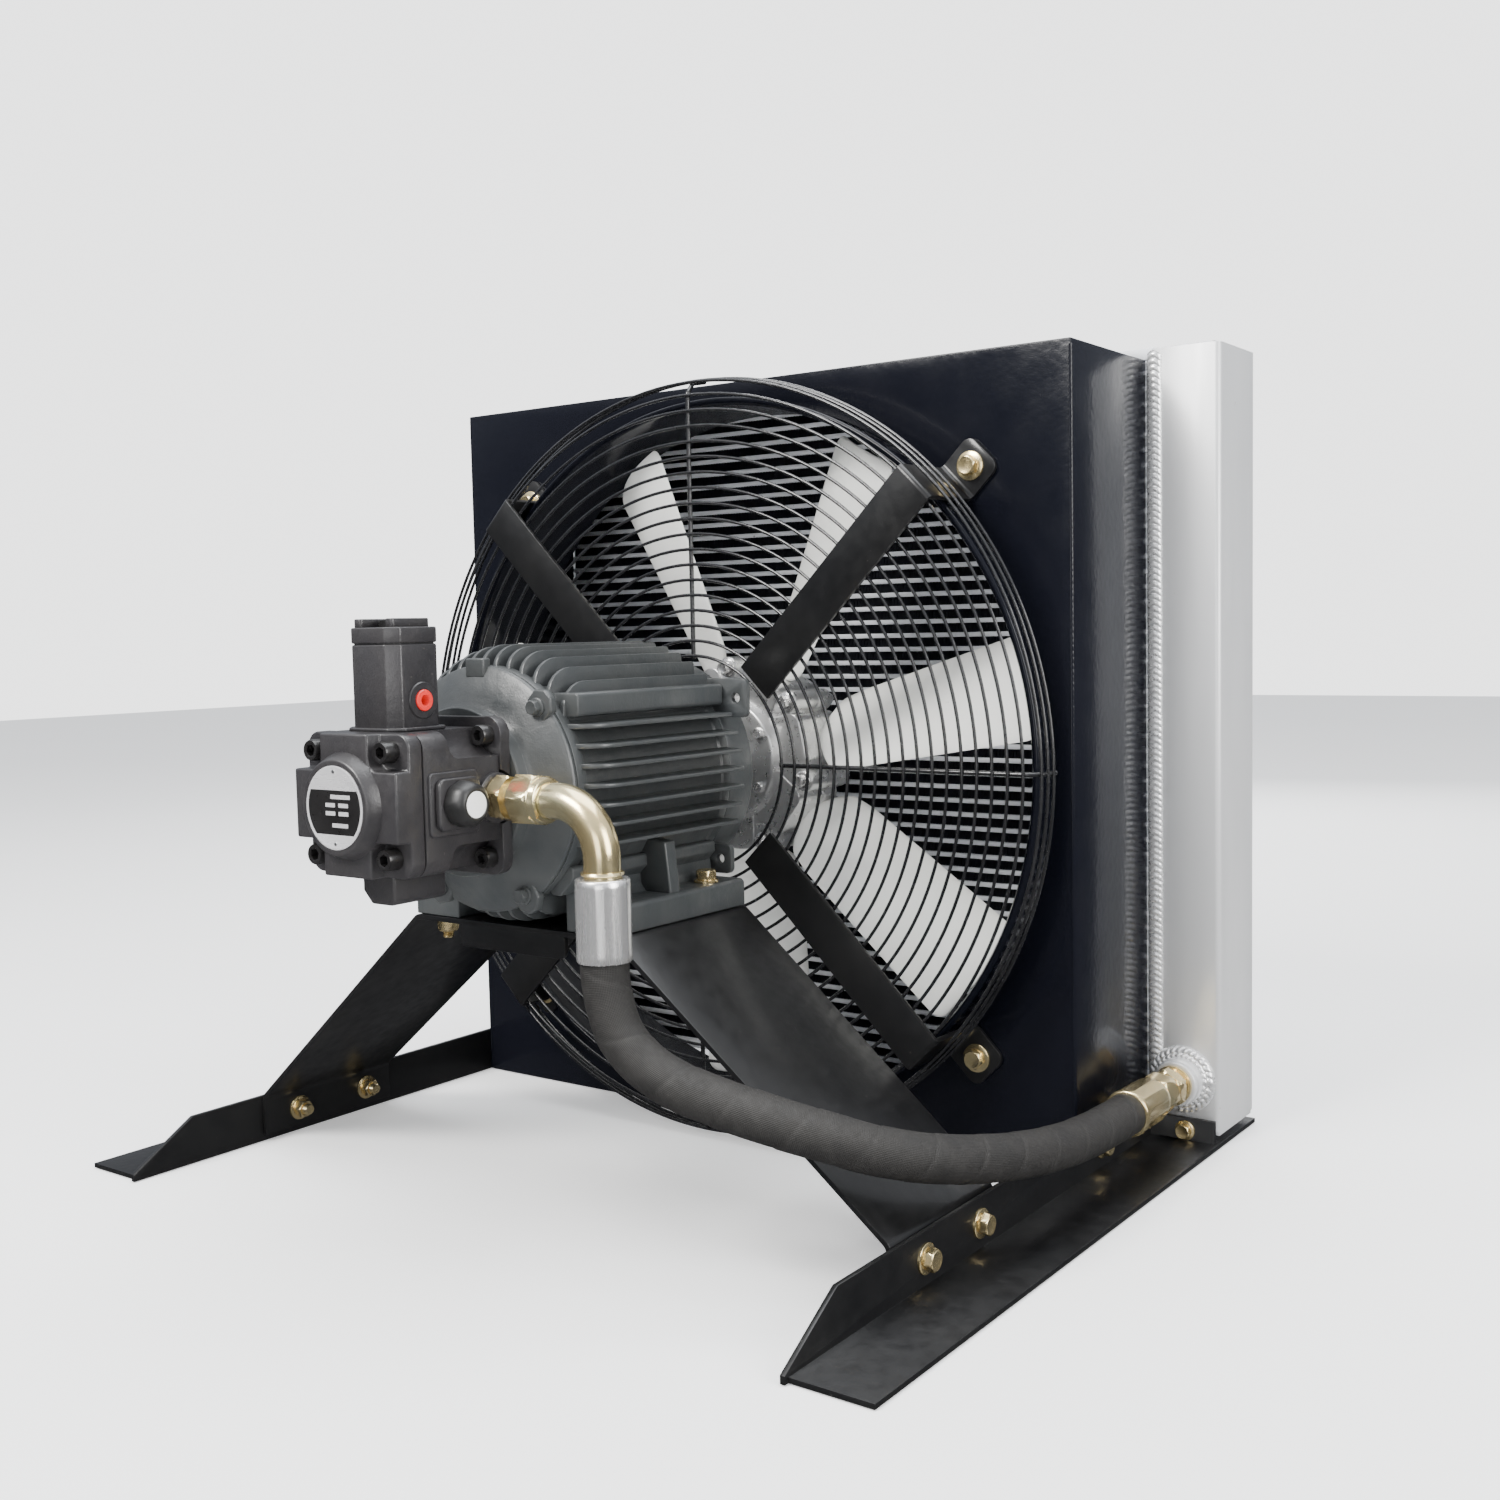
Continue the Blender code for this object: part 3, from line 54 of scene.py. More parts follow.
# Driving places, read from the frame
JOINTS = {joint["name"]: joint for joint in frame["joints"]}
AXIS_Z = JOINTS["fan_spin"]["pos_m"][2]
FAN_Y = JOINTS["fan_spin"]["pos_m"][1]
COWL_LOW, COWL_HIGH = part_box("cowl")
FRONT = COWL_LOW.y
CORE_LOW, CORE_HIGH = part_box("cooler_core")

# Lengths that several pieces share
GAP = 0.0003
SHAFT_HEIGHT = 0.112
OUTLET_Y = FRONT - 0.380
SUCTION_Y = FRONT - 0.4215
TANK_PORT_X = 0.3785
SADDLE_TOP = 0.2397
SADDLE_SHEET = 0.0045
SADDLE_FOOT_X = 0.3459
RAIL_WEB_X = 0.3463
FOOT_BOLT_X = 0.095


# ---------------------------------------------------------------- camera and light

def make_camera():
    """The camera stands in front, to the right and a little above the shaft."""
    yaw, pitch, roll = (math.radians(a) for a in (36.164, -4.2224, -1.2188))
    level = math.cos(pitch)
    forward = Vector((-math.sin(yaw) * level, math.cos(yaw) * level, math.sin(pitch)))
    right = Vector((math.cos(yaw), math.sin(yaw), 0))
    up = right.cross(forward)
    across = right * math.cos(roll) + up * math.sin(roll)
    above = up * math.cos(roll) - right * math.sin(roll)
    camera = bpy.data.objects.new("camera", bpy.data.cameras.new("camera"))
    bpy.context.scene.collection.objects.link(camera)
    turn = Matrix((across, above, -forward)).transposed()
    camera.matrix_world = Matrix.Translation((0.9198, FRONT - 1.2388, 0.4722)) @ turn.to_4x4()
    camera.data.sensor_width = 36.0
    camera.data.lens = 38.93
    bpy.context.scene.camera = camera


def area_light(name, place, target, size, power, colour=(1, 1, 1)):
    light = bpy.data.lights.new(name, "AREA")
    light.shape = "RECTANGLE"
    light.size, light.size_y = size
    light.energy = power
    light.color = colour
    lamp = bpy.data.objects.new(name, light)
    bpy.context.scene.collection.objects.link(lamp)
    aim = (Vector(target) - Vector(place)).to_track_quat("-Z", "Y")
    lamp.matrix_world = Matrix.Translation(place) @ aim.to_matrix().to_4x4()


def make_light():
    world = bpy.data.worlds.new("studio")
    bpy.context.scene.world = world
    world.use_nodes = True
    tree = world.node_tree
    tree.nodes.clear()
    out = tree.nodes.new("ShaderNodeOutputWorld")
    direction = tree.nodes.new("ShaderNodeTexCoord")
    split = tree.nodes.new("ShaderNodeSeparateXYZ")
    tree.links.new(direction.outputs["Generated"], split.inputs[0])
    room = tree.nodes.new("ShaderNodeValToRGB")
    stops = (
        (0.0, (0.12, 0.12, 0.125)), (0.46, (0.080, 0.082, 0.088)), (0.58, (0.15, 0.16, 0.18)),
        (0.72, (0.62, 0.66, 0.73)), (1.0, (0.98, 0.99, 1.0)),
    )
    height = tree.nodes.new("ShaderNodeMapRange")
    height.inputs["From Min"].default_value = -1
    tree.links.new(split.outputs["Z"], height.inputs["Value"])
    set_stops(room, stops)
    tree.links.new(height.outputs["Result"], room.inputs["Fac"])
    shown = tree.nodes.new("ShaderNodeBackground")
    shown.inputs["Color"].default_value = (0.97, 0.975, 0.98, 1)
    shown.inputs["Strength"].default_value = 2.9
    lit = tree.nodes.new("ShaderNodeBackground")
    lit.inputs["Strength"].default_value = 1.15
    tree.links.new(room.outputs["Color"], lit.inputs["Color"])
    rays = tree.nodes.new("ShaderNodeLightPath")
    mix = tree.nodes.new("ShaderNodeMixShader")
    tree.links.new(rays.outputs["Is Camera Ray"], mix.inputs["Fac"])
    tree.links.new(lit.outputs[0], mix.inputs[1])
    tree.links.new(shown.outputs[0], mix.inputs[2])
    tree.links.new(mix.outputs[0], out.inputs["Surface"])
    area_light("key", (-0.6, -2.4, 2.6), (0, 0, 0.3), (1.4, 1.1), 165, (1.0, 0.985, 0.96))
    area_light("sky_panel", (0.3, 0.2, 3.2), (0, 0, 0.3), (2.4, 2.4), 100, (0.94, 0.97, 1.0))
    area_light("side_panel", (3.0, -0.3, 1.3), (0.2, 0, 0.3), (1.4, 1.8), 84, (1.0, 0.99, 0.97))
    area_light("front_fill", (1.2, -2.6, 0.7), (0, 0, 0.3), (1.2, 1.2), 16)
    area_light("back_fill", (-0.8, 3.0, 1.6), (0, 0, 0.35), (2.0, 1.6), 60)


def make_floor():
    reach = 9.0
    mesh = bpy.data.meshes.new("floor")
    corners = [(-reach, -reach, 0), (reach, -reach, 0), (reach, reach, 0), (-reach, reach, 0)]
    mesh.from_pydata(corners, [], [(0, 1, 2, 3)])
    floor = bpy.data.objects.new("floor", mesh)
    bpy.context.scene.collection.objects.link(floor)
    floor.location.z = -0.0008
    floor.visible_glossy = False
    paper = surface("floor_paper", ((0.93, 0.93, 0.93), (0.95, 0.95, 0.95)), (0.85, 0.95), patch=0.7)
    shader = paper.node_tree.nodes["Principled BSDF"]
    shader.inputs["Emission Color"].default_value = (1, 1, 1, 1)
    shader.inputs["Emission Strength"].default_value = 0.42
    mesh.materials.append(paper)


# ---------------------------------------------------------------- materials

def set_stops(ramp, stops):
    elements = ramp.color_ramp.elements
    while len(elements) > 1:
        elements.remove(elements[-1])
    for number, (spot, colour) in enumerate(stops):
        element = elements[0] if number == 0 else elements.new(spot)
        element.position = spot
        element.color = (*colour, 1)


def noise_node(tree, coords, scale, detail=3.0, stretch=None):
    source = coords
    if stretch:
        mapping = tree.nodes.new("ShaderNodeMapping")
        mapping.inputs["Scale"].default_value = stretch
        tree.links.new(coords, mapping.inputs["Vector"])
        source = mapping.outputs["Vector"]
    node = tree.nodes.new("ShaderNodeTexNoise")
    node.inputs["Scale"].default_value = scale
    node.inputs["Detail"].default_value = detail
    tree.links.new(source, node.inputs["Vector"])
    return node.outputs["Fac"]


def ranged(tree, value, low, high, start=0.3, end=0.7):
    node = tree.nodes.new("ShaderNodeMapRange")
    node.inputs["From Min"].default_value = start
    node.inputs["From Max"].default_value = end
    node.inputs["To Min"].default_value = low
    node.inputs["To Max"].default_value = high
    tree.links.new(value, node.inputs["Value"])
    return node.outputs["Result"]


def bump_node(tree, height, depth, before=None):
    node = tree.nodes.new("ShaderNodeBump")
    node.inputs["Strength"].default_value = 1.0
    node.inputs["Distance"].default_value = depth
    tree.links.new(height, node.inputs["Height"])
    if before:
        tree.links.new(before, node.inputs["Normal"])
    return node.outputs["Normal"]


def mixed(tree, factor, first, second):
    """Colour first, going to colour second as the factor rises. Either may be a socket or three numbers."""
    node = tree.nodes.new("ShaderNodeMix")
    node.data_type = "RGBA"
    tree.links.new(factor, node.inputs[0])
    for socket, colour in ((node.inputs[6], first), (node.inputs[7], second)):
        if isinstance(colour, tuple):
            socket.default_value = (*colour, 1)
        else:
            tree.links.new(colour, socket)
    return node.outputs[2]


def surface(name, colours, roughness, metallic=0.0, patch=9.0, grain=0.0, grain_depth=0.0, lumps=0.0,
            lump_depth=0.0, stretch=None, spots=None, coat=0.0, coat_roughness=0.05, ior=1.5, uv=False):
    """A material whose colour drifts in patches, with changing roughness, fine grain, and broader lumps.

    spots is (colour, scale, lower limit): small marks where a noise of that scale passes the limit.
    """
    made = bpy.data.materials.new(name)
    made.use_nodes = True
    tree = made.node_tree
    shader = tree.nodes["Principled BSDF"]
    place = tree.nodes.new("ShaderNodeTexCoord")
    coords = place.outputs["UV" if uv else "Object"]
    drift = noise_node(tree, coords, patch, 4.0, stretch)
    ramp = tree.nodes.new("ShaderNodeValToRGB")
    count = max(1, len(colours) - 1)
    set_stops(ramp, [(0.32 + 0.36 * i / count, colour) for i, colour in enumerate(colours)])
    tree.links.new(drift, ramp.inputs["Fac"])
    colour = ramp.outputs["Color"]
    rough = ranged(tree, noise_node(tree, coords, patch * 7, 5.0, stretch), roughness[0], roughness[1])
    if spots:
        mark, scale, limit = spots
        mask = ranged(tree, noise_node(tree, coords, scale, 6.0), 0, 1, limit, limit + 0.05)
        colour = mixed(tree, mask, colour, mark)
    tree.links.new(colour, shader.inputs["Base Color"])
    tree.links.new(rough, shader.inputs["Roughness"])
    shader.inputs["Metallic"].default_value = metallic
    shader.inputs["IOR"].default_value = ior
    shader.inputs["Coat Weight"].default_value = coat
    shader.inputs["Coat Roughness"].default_value = coat_roughness
    normal = None
    if lumps:
        normal = bump_node(tree, noise_node(tree, coords, lumps, 3.0), lump_depth)
    if grain:
        normal = bump_node(tree, noise_node(tree, coords, grain, 2.0, stretch), grain_depth, normal)
    if normal:
        tree.links.new(normal, shader.inputs["Normal"])
        if coat:
            tree.links.new(normal, shader.inputs["Coat Normal"])
    return made


def wrap_material():
    """Rubber that was cured in wrapped cloth: a fine weave, and lighter bloom in scattered specks."""
    made = surface(
        "hose_rubber", ((0.010, 0.009, 0.0083), (0.016, 0.0145, 0.013), (0.012, 0.011, 0.010)), (0.56, 0.74),
        patch=30, lumps=160, lump_depth=0.00025, spots=((0.035, 0.032, 0.029), 420, 0.71),
    )
    tree = made.node_tree
    shader = tree.nodes["Principled BSDF"]
    place = tree.nodes.new("ShaderNodeTexCoord")
    before = shader.inputs["Normal"].links[0].from_socket
    for direction in ("X", "Y"):
        wave = tree.nodes.new("ShaderNodeTexWave")
        wave.bands_direction = direction
        wave.inputs["Scale"].default_value = 260
        wave.inputs["Distortion"].default_value = 0.6
        tree.links.new(place.outputs["UV"], wave.inputs["Vector"])
        before = bump_node(tree, wave.outputs["Fac"], 0.00012, before)
    tree.links.new(before, shader.inputs["Normal"])
    return made


LOOKS = {
    "gloss": surface(
        "cowl_gloss_black", ((0.0035, 0.004, 0.007), (0.006, 0.0065, 0.010)), (0.16, 0.26), patch=5,
        lumps=170, lump_depth=0.00016, coat=0.10, coat_roughness=0.08, ior=1.30,
        spots=((0.030, 0.030, 0.032), 300, 0.75),
    ),
    "satin": surface(
        "satin_black_paint", ((0.005, 0.005, 0.0055), (0.009, 0.0088, 0.0088)), (0.28, 0.42), patch=12,
        grain=900, grain_depth=0.00004, lumps=120, lump_depth=0.00010, coat=0.20, coat_roughness=0.12, ior=1.40,
        spots=((0.030, 0.028, 0.026), 260, 0.72),
    ),
    "wire": surface(
        "guard_wire_black", ((0.006, 0.006, 0.007), (0.012, 0.012, 0.013)), (0.18, 0.30), patch=20,
        lumps=300, lump_depth=0.0001, coat=0.6, coat_roughness=0.10,
    ),
    "motor": surface(
        "motor_grey_paint", ((0.030, 0.034, 0.036), (0.043, 0.046, 0.046), (0.035, 0.039, 0.041)), (0.32, 0.48),
        patch=14, grain=700, grain_depth=0.00009, lumps=110, lump_depth=0.00035, coat=0.25, coat_roughness=0.25,
        spots=((0.028, 0.029, 0.029), 170, 0.71),
    ),
    "pump": surface(
        "pump_charcoal_paint", ((0.017, 0.016, 0.018), (0.026, 0.024, 0.025), (0.021, 0.020, 0.022)), (0.32, 0.50),
        patch=22, grain=650, grain_depth=0.00011, lumps=150, lump_depth=0.00030, coat=0.3, coat_roughness=0.24,
        spots=((0.075, 0.070, 0.062), 210, 0.71),
    ),
    "aluminium": surface(
        "satin_aluminium", ((0.66, 0.665, 0.67), (0.73, 0.73, 0.735), (0.69, 0.695, 0.70)), (0.36, 0.48), 0.50,
        patch=7, grain=420, grain_depth=0.00004, stretch=(1, 1, 0.12), spots=((0.55, 0.54, 0.52), 120, 0.72),
    ),
    "weld": surface(
        "weld_bead", ((0.74, 0.745, 0.75), (0.82, 0.82, 0.82), (0.70, 0.70, 0.70)), (0.24, 0.36), 0.70,
        patch=60, grain=900, grain_depth=0.00006,
    ),
    "bar": surface(
        "core_bar", ((0.80, 0.82, 0.86), (0.88, 0.90, 0.93)), (0.40, 0.56), 0.10, patch=16, grain=500,
        grain_depth=0.00005, stretch=(0.2, 1, 1), spots=((0.40, 0.40, 0.42), 130, 0.71),
    ),
    "fin": surface(
        "core_fin", ((0.016, 0.018, 0.024), (0.034, 0.037, 0.046)), (0.40, 0.60), 0.6, patch=18, grain=700,
        grain_depth=0.00005,
    ),
    "zinc": surface(
        "yellow_zinc", ((0.88, 0.74, 0.42), (0.90, 0.72, 0.38), (0.84, 0.75, 0.46)), (0.16, 0.26), 0.95, patch=16,
        grain=900, grain_depth=0.00002,
    ),
    "bright": surface(
        "bright_zinc", ((0.88, 0.87, 0.86), (0.94, 0.93, 0.92), (0.80, 0.78, 0.76)), (0.20, 0.30), 0.90, patch=60,
        stretch=(1, 1, 0.04),
    ),
    "steel": surface(
        "plain_steel", ((0.42, 0.42, 0.43), (0.56, 0.56, 0.56)), (0.24, 0.40), 1.0, patch=30, grain=900,
        grain_depth=0.00003, stretch=(1, 0.2, 1),
    ),
    "black_steel": surface(
        "blackened_steel", ((0.012, 0.011, 0.011), (0.020, 0.019, 0.019)), (0.26, 0.42), 0.4, patch=40, grain=900,
        grain_depth=0.00004, coat=0.3, coat_roughness=0.2,
    ),
    "blade": surface(
        "blade_nylon", ((0.88, 0.88, 0.83), (0.91, 0.91, 0.87), (0.89, 0.89, 0.85)), (0.34, 0.50), patch=8,
        grain=600, grain_depth=0.00004, lumps=60, lump_depth=0.00015, spots=((0.70, 0.69, 0.64), 150, 0.73),
    ),
    "hub": surface(
        "cast_hub", ((0.66, 0.66, 0.655), (0.76, 0.76, 0.755)), (0.24, 0.38), 0.85, patch=24, grain=600,
        grain_depth=0.00006,
    ),
    "plastic": surface(
        "black_plastic", ((0.010, 0.010, 0.010), (0.016, 0.0155, 0.0155)), (0.34, 0.50), patch=40, grain=1100,
        grain_depth=0.00005, spots=((0.040, 0.038, 0.036), 420, 0.72),
    ),
    "red": surface(
        "red_plastic", ((0.60, 0.020, 0.018), (0.72, 0.030, 0.022)), (0.26, 0.40), patch=50, grain=800,
        grain_depth=0.00004, coat=0.3,
    ),
    "plate": surface(
        "blank_plate", ((0.66, 0.65, 0.66), (0.78, 0.77, 0.78)), (0.24, 0.36), 0.55, patch=26, grain=1200,
        grain_depth=0.00002, stretch=(0.1, 1, 1),
    ),
    "sticker": surface(
        "blank_sticker", ((0.82, 0.82, 0.80), (0.88, 0.88, 0.87)), (0.45, 0.60), patch=60, grain=900,
        grain_depth=0.00001,
    ),
    "lamination": surface(
        "lamination_steel", ((0.20, 0.19, 0.18), (0.30, 0.28, 0.27)), (0.40, 0.60), 0.9, patch=20, grain=900,
        grain_depth=0.00008, stretch=(0.2, 6, 0.2),
    ),
    "rubber": wrap_material(),
}


# ---------------------------------------------------------------- building meshes

FACINGS = {
    "+X": ((0, 1, 0), (0, 0, 1), (1, 0, 0)),
    "-X": ((0, 0, 1), (0, 1, 0), (-1, 0, 0)),
    "+Y": ((0, 0, 1), (1, 0, 0), (0, 1, 0)),
    "-Y": ((1, 0, 0), (0, 0, 1), (0, -1, 0)),
    "+Z": ((1, 0, 0), (0, 1, 0), (0, 0, 1)),
    "-Z": ((0, 1, 0), (1, 0, 0), (0, 0, -1)),
}


def facing(direction, at=(0, 0, 0), turn=0.0):
    """A matrix whose local +Z points that way from the given place."""
    axes = Matrix(FACINGS[direction]).transposed().to_4x4()
    return Matrix.Translation(at) @ axes @ Matrix.Rotation(turn, 4, "Z")


def about_shaft(degrees):
    """Turns what points along +X to that many degrees above +X, as seen from the front."""
    return Matrix.Translation((0, 0, AXIS_Z)) @ Matrix.Rotation(math.radians(-degrees), 4, "Y")


def hexagon(flat):
    """Radius of a hexagon with that half width across flats, at each angle."""
    return lambda angle: flat / math.cos((angle + math.pi / 6) % (math.pi / 3) - math.pi / 6)


class Build:
    """Closed shapes gathered into one mesh."""

    def __init__(self):
        self.points = []
        self.faces = []

    def add(self, points, faces, matrix=None):
        start = len(self.points)
        self.points += [matrix @ Vector(p) for p in points] if matrix else [Vector(p) for p in points]
        self.faces += [tuple(start + i for i in face) for face in faces]
        return self

    def stack(self, levels, count=32, matrix=None, ring=False):
        """Cross-sections around local Z. A level is (height, radius), and the radius may be a function of angle.

        With ring, the last level joins the first one, which leaves a hole through the middle.
        """
        points = []
        for height, radius in levels:
            for i in range(count):
                angle = TAU * i / count
                r = radius(angle) if callable(radius) else radius
                points.append((r * math.cos(angle), r * math.sin(angle), height))
        faces = []
        pairs = list(zip(range(len(levels)), range(1, len(levels))))
        if ring:
            pairs.append((len(levels) - 1, 0))
        else:
            faces.append(tuple(reversed(range(count))))
            faces.append(tuple(range((len(levels) - 1) * count, len(levels) * count)))
        for a, b in pairs:
            for i in range(count):
                j = (i + 1) % count
                faces.append((a * count + i, a * count + j, b * count + j, b * count + i))
        return self.add(points, faces, matrix)

    def prism(self, outline, low, high, matrix=None):
        """An outline in local X and Y, pulled along local Z."""
        count = len(outline)
        points = [(x, y, low) for x, y in outline] + [(x, y, high) for x, y in outline]
        faces = [tuple(reversed(range(count))), tuple(range(count, 2 * count))]
        faces += [(i, (i + 1) % count, count + (i + 1) % count, count + i) for i in range(count)]
        return self.add(points, faces, matrix)

    def box(self, low, high, matrix=None):
        outline = ((low[0], low[1]), (high[0], low[1]), (high[0], high[1]), (low[0], high[1]))
        return self.prism(outline, low[2], high[2], matrix)

    def loft(self, sections, matrix=None, closed=False):
        """Equal rings of points joined one to the next, with a cap on each end unless it is closed."""
        count = len(sections[0])
        points = [point for section in sections for point in section]
        rows = len(sections)
        faces = []
        for row in range(rows if closed else rows - 1):
            a, b = row * count, (row + 1) % rows * count
            faces += [(a + i, a + (i + 1) % count, b + (i + 1) % count, b + i) for i in range(count)]
        if not closed:
            faces.append(tuple(reversed(range(count))))
            faces.append(tuple(range((rows - 1) * count, rows * count)))
        return self.add(points, faces, matrix)

    def tube(self, path, radius, count=10, closed=False, matrix=None):
        """A round bar along a path. The radius may be a function of the row and the angle."""
        path = [Vector(p) for p in path]
        rows = len(path)
        sections = []
        side = None
        for row, spot in enumerate(path):
            ahead = path[(row + 1) % rows] if closed or row + 1 < rows else spot
            behind = path[row - 1] if closed or row else spot
            along = (ahead - behind).normalized()
            if side is None:
                side = along.orthogonal().normalized()
            side = (side - along * side.dot(along)).normalized()
            other = along.cross(side)
            section = []
            for i in range(count):
                angle = TAU * i / count
                r = radius(row, angle) if callable(radius) else radius
                section.append(spot + (side * math.cos(angle) + other * math.sin(angle)) * r)
            sections.append(section)
        return self.loft(sections, matrix, closed)

    def shape(self, name):
        """The gathered shapes as an object, with their faces pointing out."""
        mesh = bpy.data.meshes.new(name)
        mesh.from_pydata([tuple(p) for p in self.points], [], self.faces)
        shape = bmesh.new()
        shape.from_mesh(mesh)
        bmesh.ops.recalc_face_normals(shape, faces=shape.faces)
        shape.to_mesh(mesh)
        shape.free()
        made = bpy.data.objects.new(name, mesh)
        bpy.context.scene.collection.objects.link(made)
        return made

    def piece(self, name, finish, body=FRAME, bevel=0.0, steps=2, smooth=40, slot="", cuts=(), node=None):
        """One finished piece that rides on a body, after its cuts and its rounded edges.

        Its material slot is its finish's own. The slot argument is not used.
        """
        made = self.shape(name)
        made.data.materials.append(LOOKS[finish])
        for number, tool in enumerate(cuts):
            step = made.modifiers.new(f"cut_{number}", "BOOLEAN")
            step.solver = "EXACT"
            step.operation = "DIFFERENCE"
            step.object = tool.shape(f"{name}_cut_{number}")
        if cuts:
            settle(made)
        if bevel:
            step = made.modifiers.new("rounded_edges", "BEVEL")
            step.width = bevel
            step.segments = steps
            step.limit_method = "ANGLE"
            step.angle_limit = math.radians(32)
            step.harden_normals = False
            step.use_clamp_overlap = True
            settle(made)
        made.data.shade_smooth()
        made.data.set_sharp_from_angle(angle=math.radians(smooth))
        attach(made, body)
        if node:
            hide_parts(node)
        return made


def settle(made):
    """Applies the object's modifiers, and removes the objects that cut it."""
    bpy.context.view_layer.update()
    graph = bpy.context.evaluated_depsgraph_get()
    mesh = bpy.data.meshes.new_from_object(made.evaluated_get(graph))
    tools = [step.object for step in made.modifiers if step.type == "BOOLEAN"]
    made.modifiers.clear()
    old = made.data
    made.data = mesh
    mesh.name = made.name
    bpy.data.meshes.remove(old)
    for tool in tools:
        bpy.data.objects.remove(tool)


def arc(centre, radius, start, end, steps):
    """Points on an arc, with its angles in degrees."""
    points = []
    for i in range(steps + 1):
        angle = math.radians(start + (end - start) * i / steps)
        points.append((centre[0] + radius * math.cos(angle), centre[1] + radius * math.sin(angle)))
    return points


def rounded_rectangle(half_a, half_b, radius, centre=(0.0, 0.0), steps=6):
    outline = []
    for corner, (sign_a, sign_b) in enumerate(((1, 1), (-1, 1), (-1, -1), (1, -1))):
        middle = (centre[0] + sign_a * (half_a - radius), centre[1] + sign_b * (half_b - radius))
        outline += arc(middle, radius, 90 * corner, 90 * corner + 90, steps)
    return outline


def rounded_path(path, radius, steps=5):
    """A flat path with its corners rounded to a radius."""
    points = [Vector(path[0])]
    for before, here, after in zip(path, path[1:], path[2:]):
        here = Vector(here)
        back = (Vector(before) - here).normalized()
        ahead = (Vector(after) - here).normalized()
        half = back.angle(ahead) / 2
        reach = radius / math.tan(half)
        centre = here + (back + ahead).normalized() * (radius / math.sin(half))
        first = here + back * reach - centre
        last = here + ahead * reach - centre
        sweep = first.angle_signed(last)
        for step in range(steps + 1):
            turn = Matrix.Rotation(-sweep * step / steps, 2)
            points.append(centre + turn @ first)
    points.append(Vector(path[-1]))
    return points


def strip(path, thickness):
    """Outline of a bent sheet: the path, and the same path moved to its left by the thickness."""
    path = [Vector(p) for p in path]
    inner = []
    for i, here in enumerate(path):
        before = (here - path[i - 1]).normalized() if i else None
        after = (path[i + 1] - here).normalized() if i + 1 < len(path) else None
        before, after = before or after, after or before
        side = Vector((-(before + after).y, (before + after).x)).normalized()
        inner.append(here + side * (thickness / side.dot(Vector((-after.y, after.x)))))
    return [tuple(p) for p in path + inner[::-1]]


def hex_bolt(build, matrix, flat, height, washer=0.0):
    """A hexagon head with chamfered corners, on a washer and a spring washer if it has a washer radius."""
    base = 0.0
    if washer:
        base = 0.0022
        build.stack(((0, washer), (0.0018, washer), (base, washer - 0.0005), (base, flat * 0.5)), 32, matrix)
        spring = flat * 1.02
        build.stack(((base, spring), (base + 0.0016, spring), (base + 0.0018, flat * 0.5)), 28, matrix)
        base += 0.0016
    corner = hexagon(flat)
    levels = [(base - 0.0002, corner), (base + height * 0.78, corner)]
    for part in (0.86, 0.93, 1.0):
        limit = flat * (1.155 - 0.21 * (part - 0.78) / 0.22)
        levels.append((base + height * part, lambda a, limit=limit: min(corner(a), limit)))
    levels.append((base + height * 1.0, flat * 0.86))
    levels.append((base + height * 0.97, flat * 0.80))
    build.stack(levels, 48, matrix)


def thread(build, matrix, radius, low, high, pitch=0.0015):
    """A threaded bar, with its thread as a stack of ridges."""
    levels = [(low, radius * 0.78), (low + pitch * 0.5, radius * 0.9)]
    for i in range(1, int((high - low) / pitch)):
        z = low + i * pitch
        levels += [(z, radius), (z + pitch / 2, radius * 0.88)]
    build.stack(levels + [(high, radius * 0.88)], 20, matrix)


def socket_screw(build, matrix, radius, height):
    """A knurled round head with a hexagon socket."""
    socket = hexagon(radius * 0.50)

    def knurl(angle):
        return radius * (1 - 0.022 * (0.5 + 0.5 * math.cos(36 * angle)))

    levels = (
        (0, knurl), (height * 0.86, knurl), (height, radius * 0.90), (height, radius * 0.66),
        (height - 0.0004, socket), (height * 0.42, socket), (height * 0.34, radius * 0.2),
    )
    build.stack(levels, 72, matrix)


def weld_bead(build, path, width, height, outward, pitch=0.0052, lean=0.8):
    """A bead of overlapping crescents along a path, standing up from the surface it lies on."""
    path = [Vector(p) for p in path]
    outward = Vector(outward)
    lengths = [0.0]
    for a, b in zip(path, path[1:]):
        lengths.append(lengths[-1] + (b - a).length)
    steps = max(8, int(lengths[-1] / pitch) * 8)
    across = 8
    sections = []
    for step in range(steps + 1):
        s = lengths[-1] * step / steps
        section = []
        ripple = 0.66 + 0.34 * abs(math.sin(math.pi * s / pitch)) ** 0.6
        wobble = 1 + 0.05 * noise.noise(Vector((s * 60, width * 1000, height * 1000)))
        for i in range(across + 1):
            a = -1 + 2 * i / across
            back = lean * pitch * a * a
            spot, along = point_at(path, lengths, min(max(s - back, 0), lengths[-1]))
            side = along.cross(outward).normalized()
            rise = (1 - a * a) ** 0.5 if abs(a) < 1 else 0
            lift = rise * height * ripple * wobble + 0.0001
            section.append(spot + side * (a * width / 2 * wobble) + outward * lift)
        first, last = section[0], section[-1]
        section += [last - outward * 0.0012, first - outward * 0.0012]
        sections.append(section)
    build.loft(sections)


def point_at(path, lengths, s):
    for i in range(len(path) - 1):
        if s <= lengths[i + 1] or i == len(path) - 2:
            step = path[i + 1] - path[i]
            along = step.normalized()
            return path[i] + along * (s - lengths[i]), along
    return path[-1], Vector((1, 0, 0))


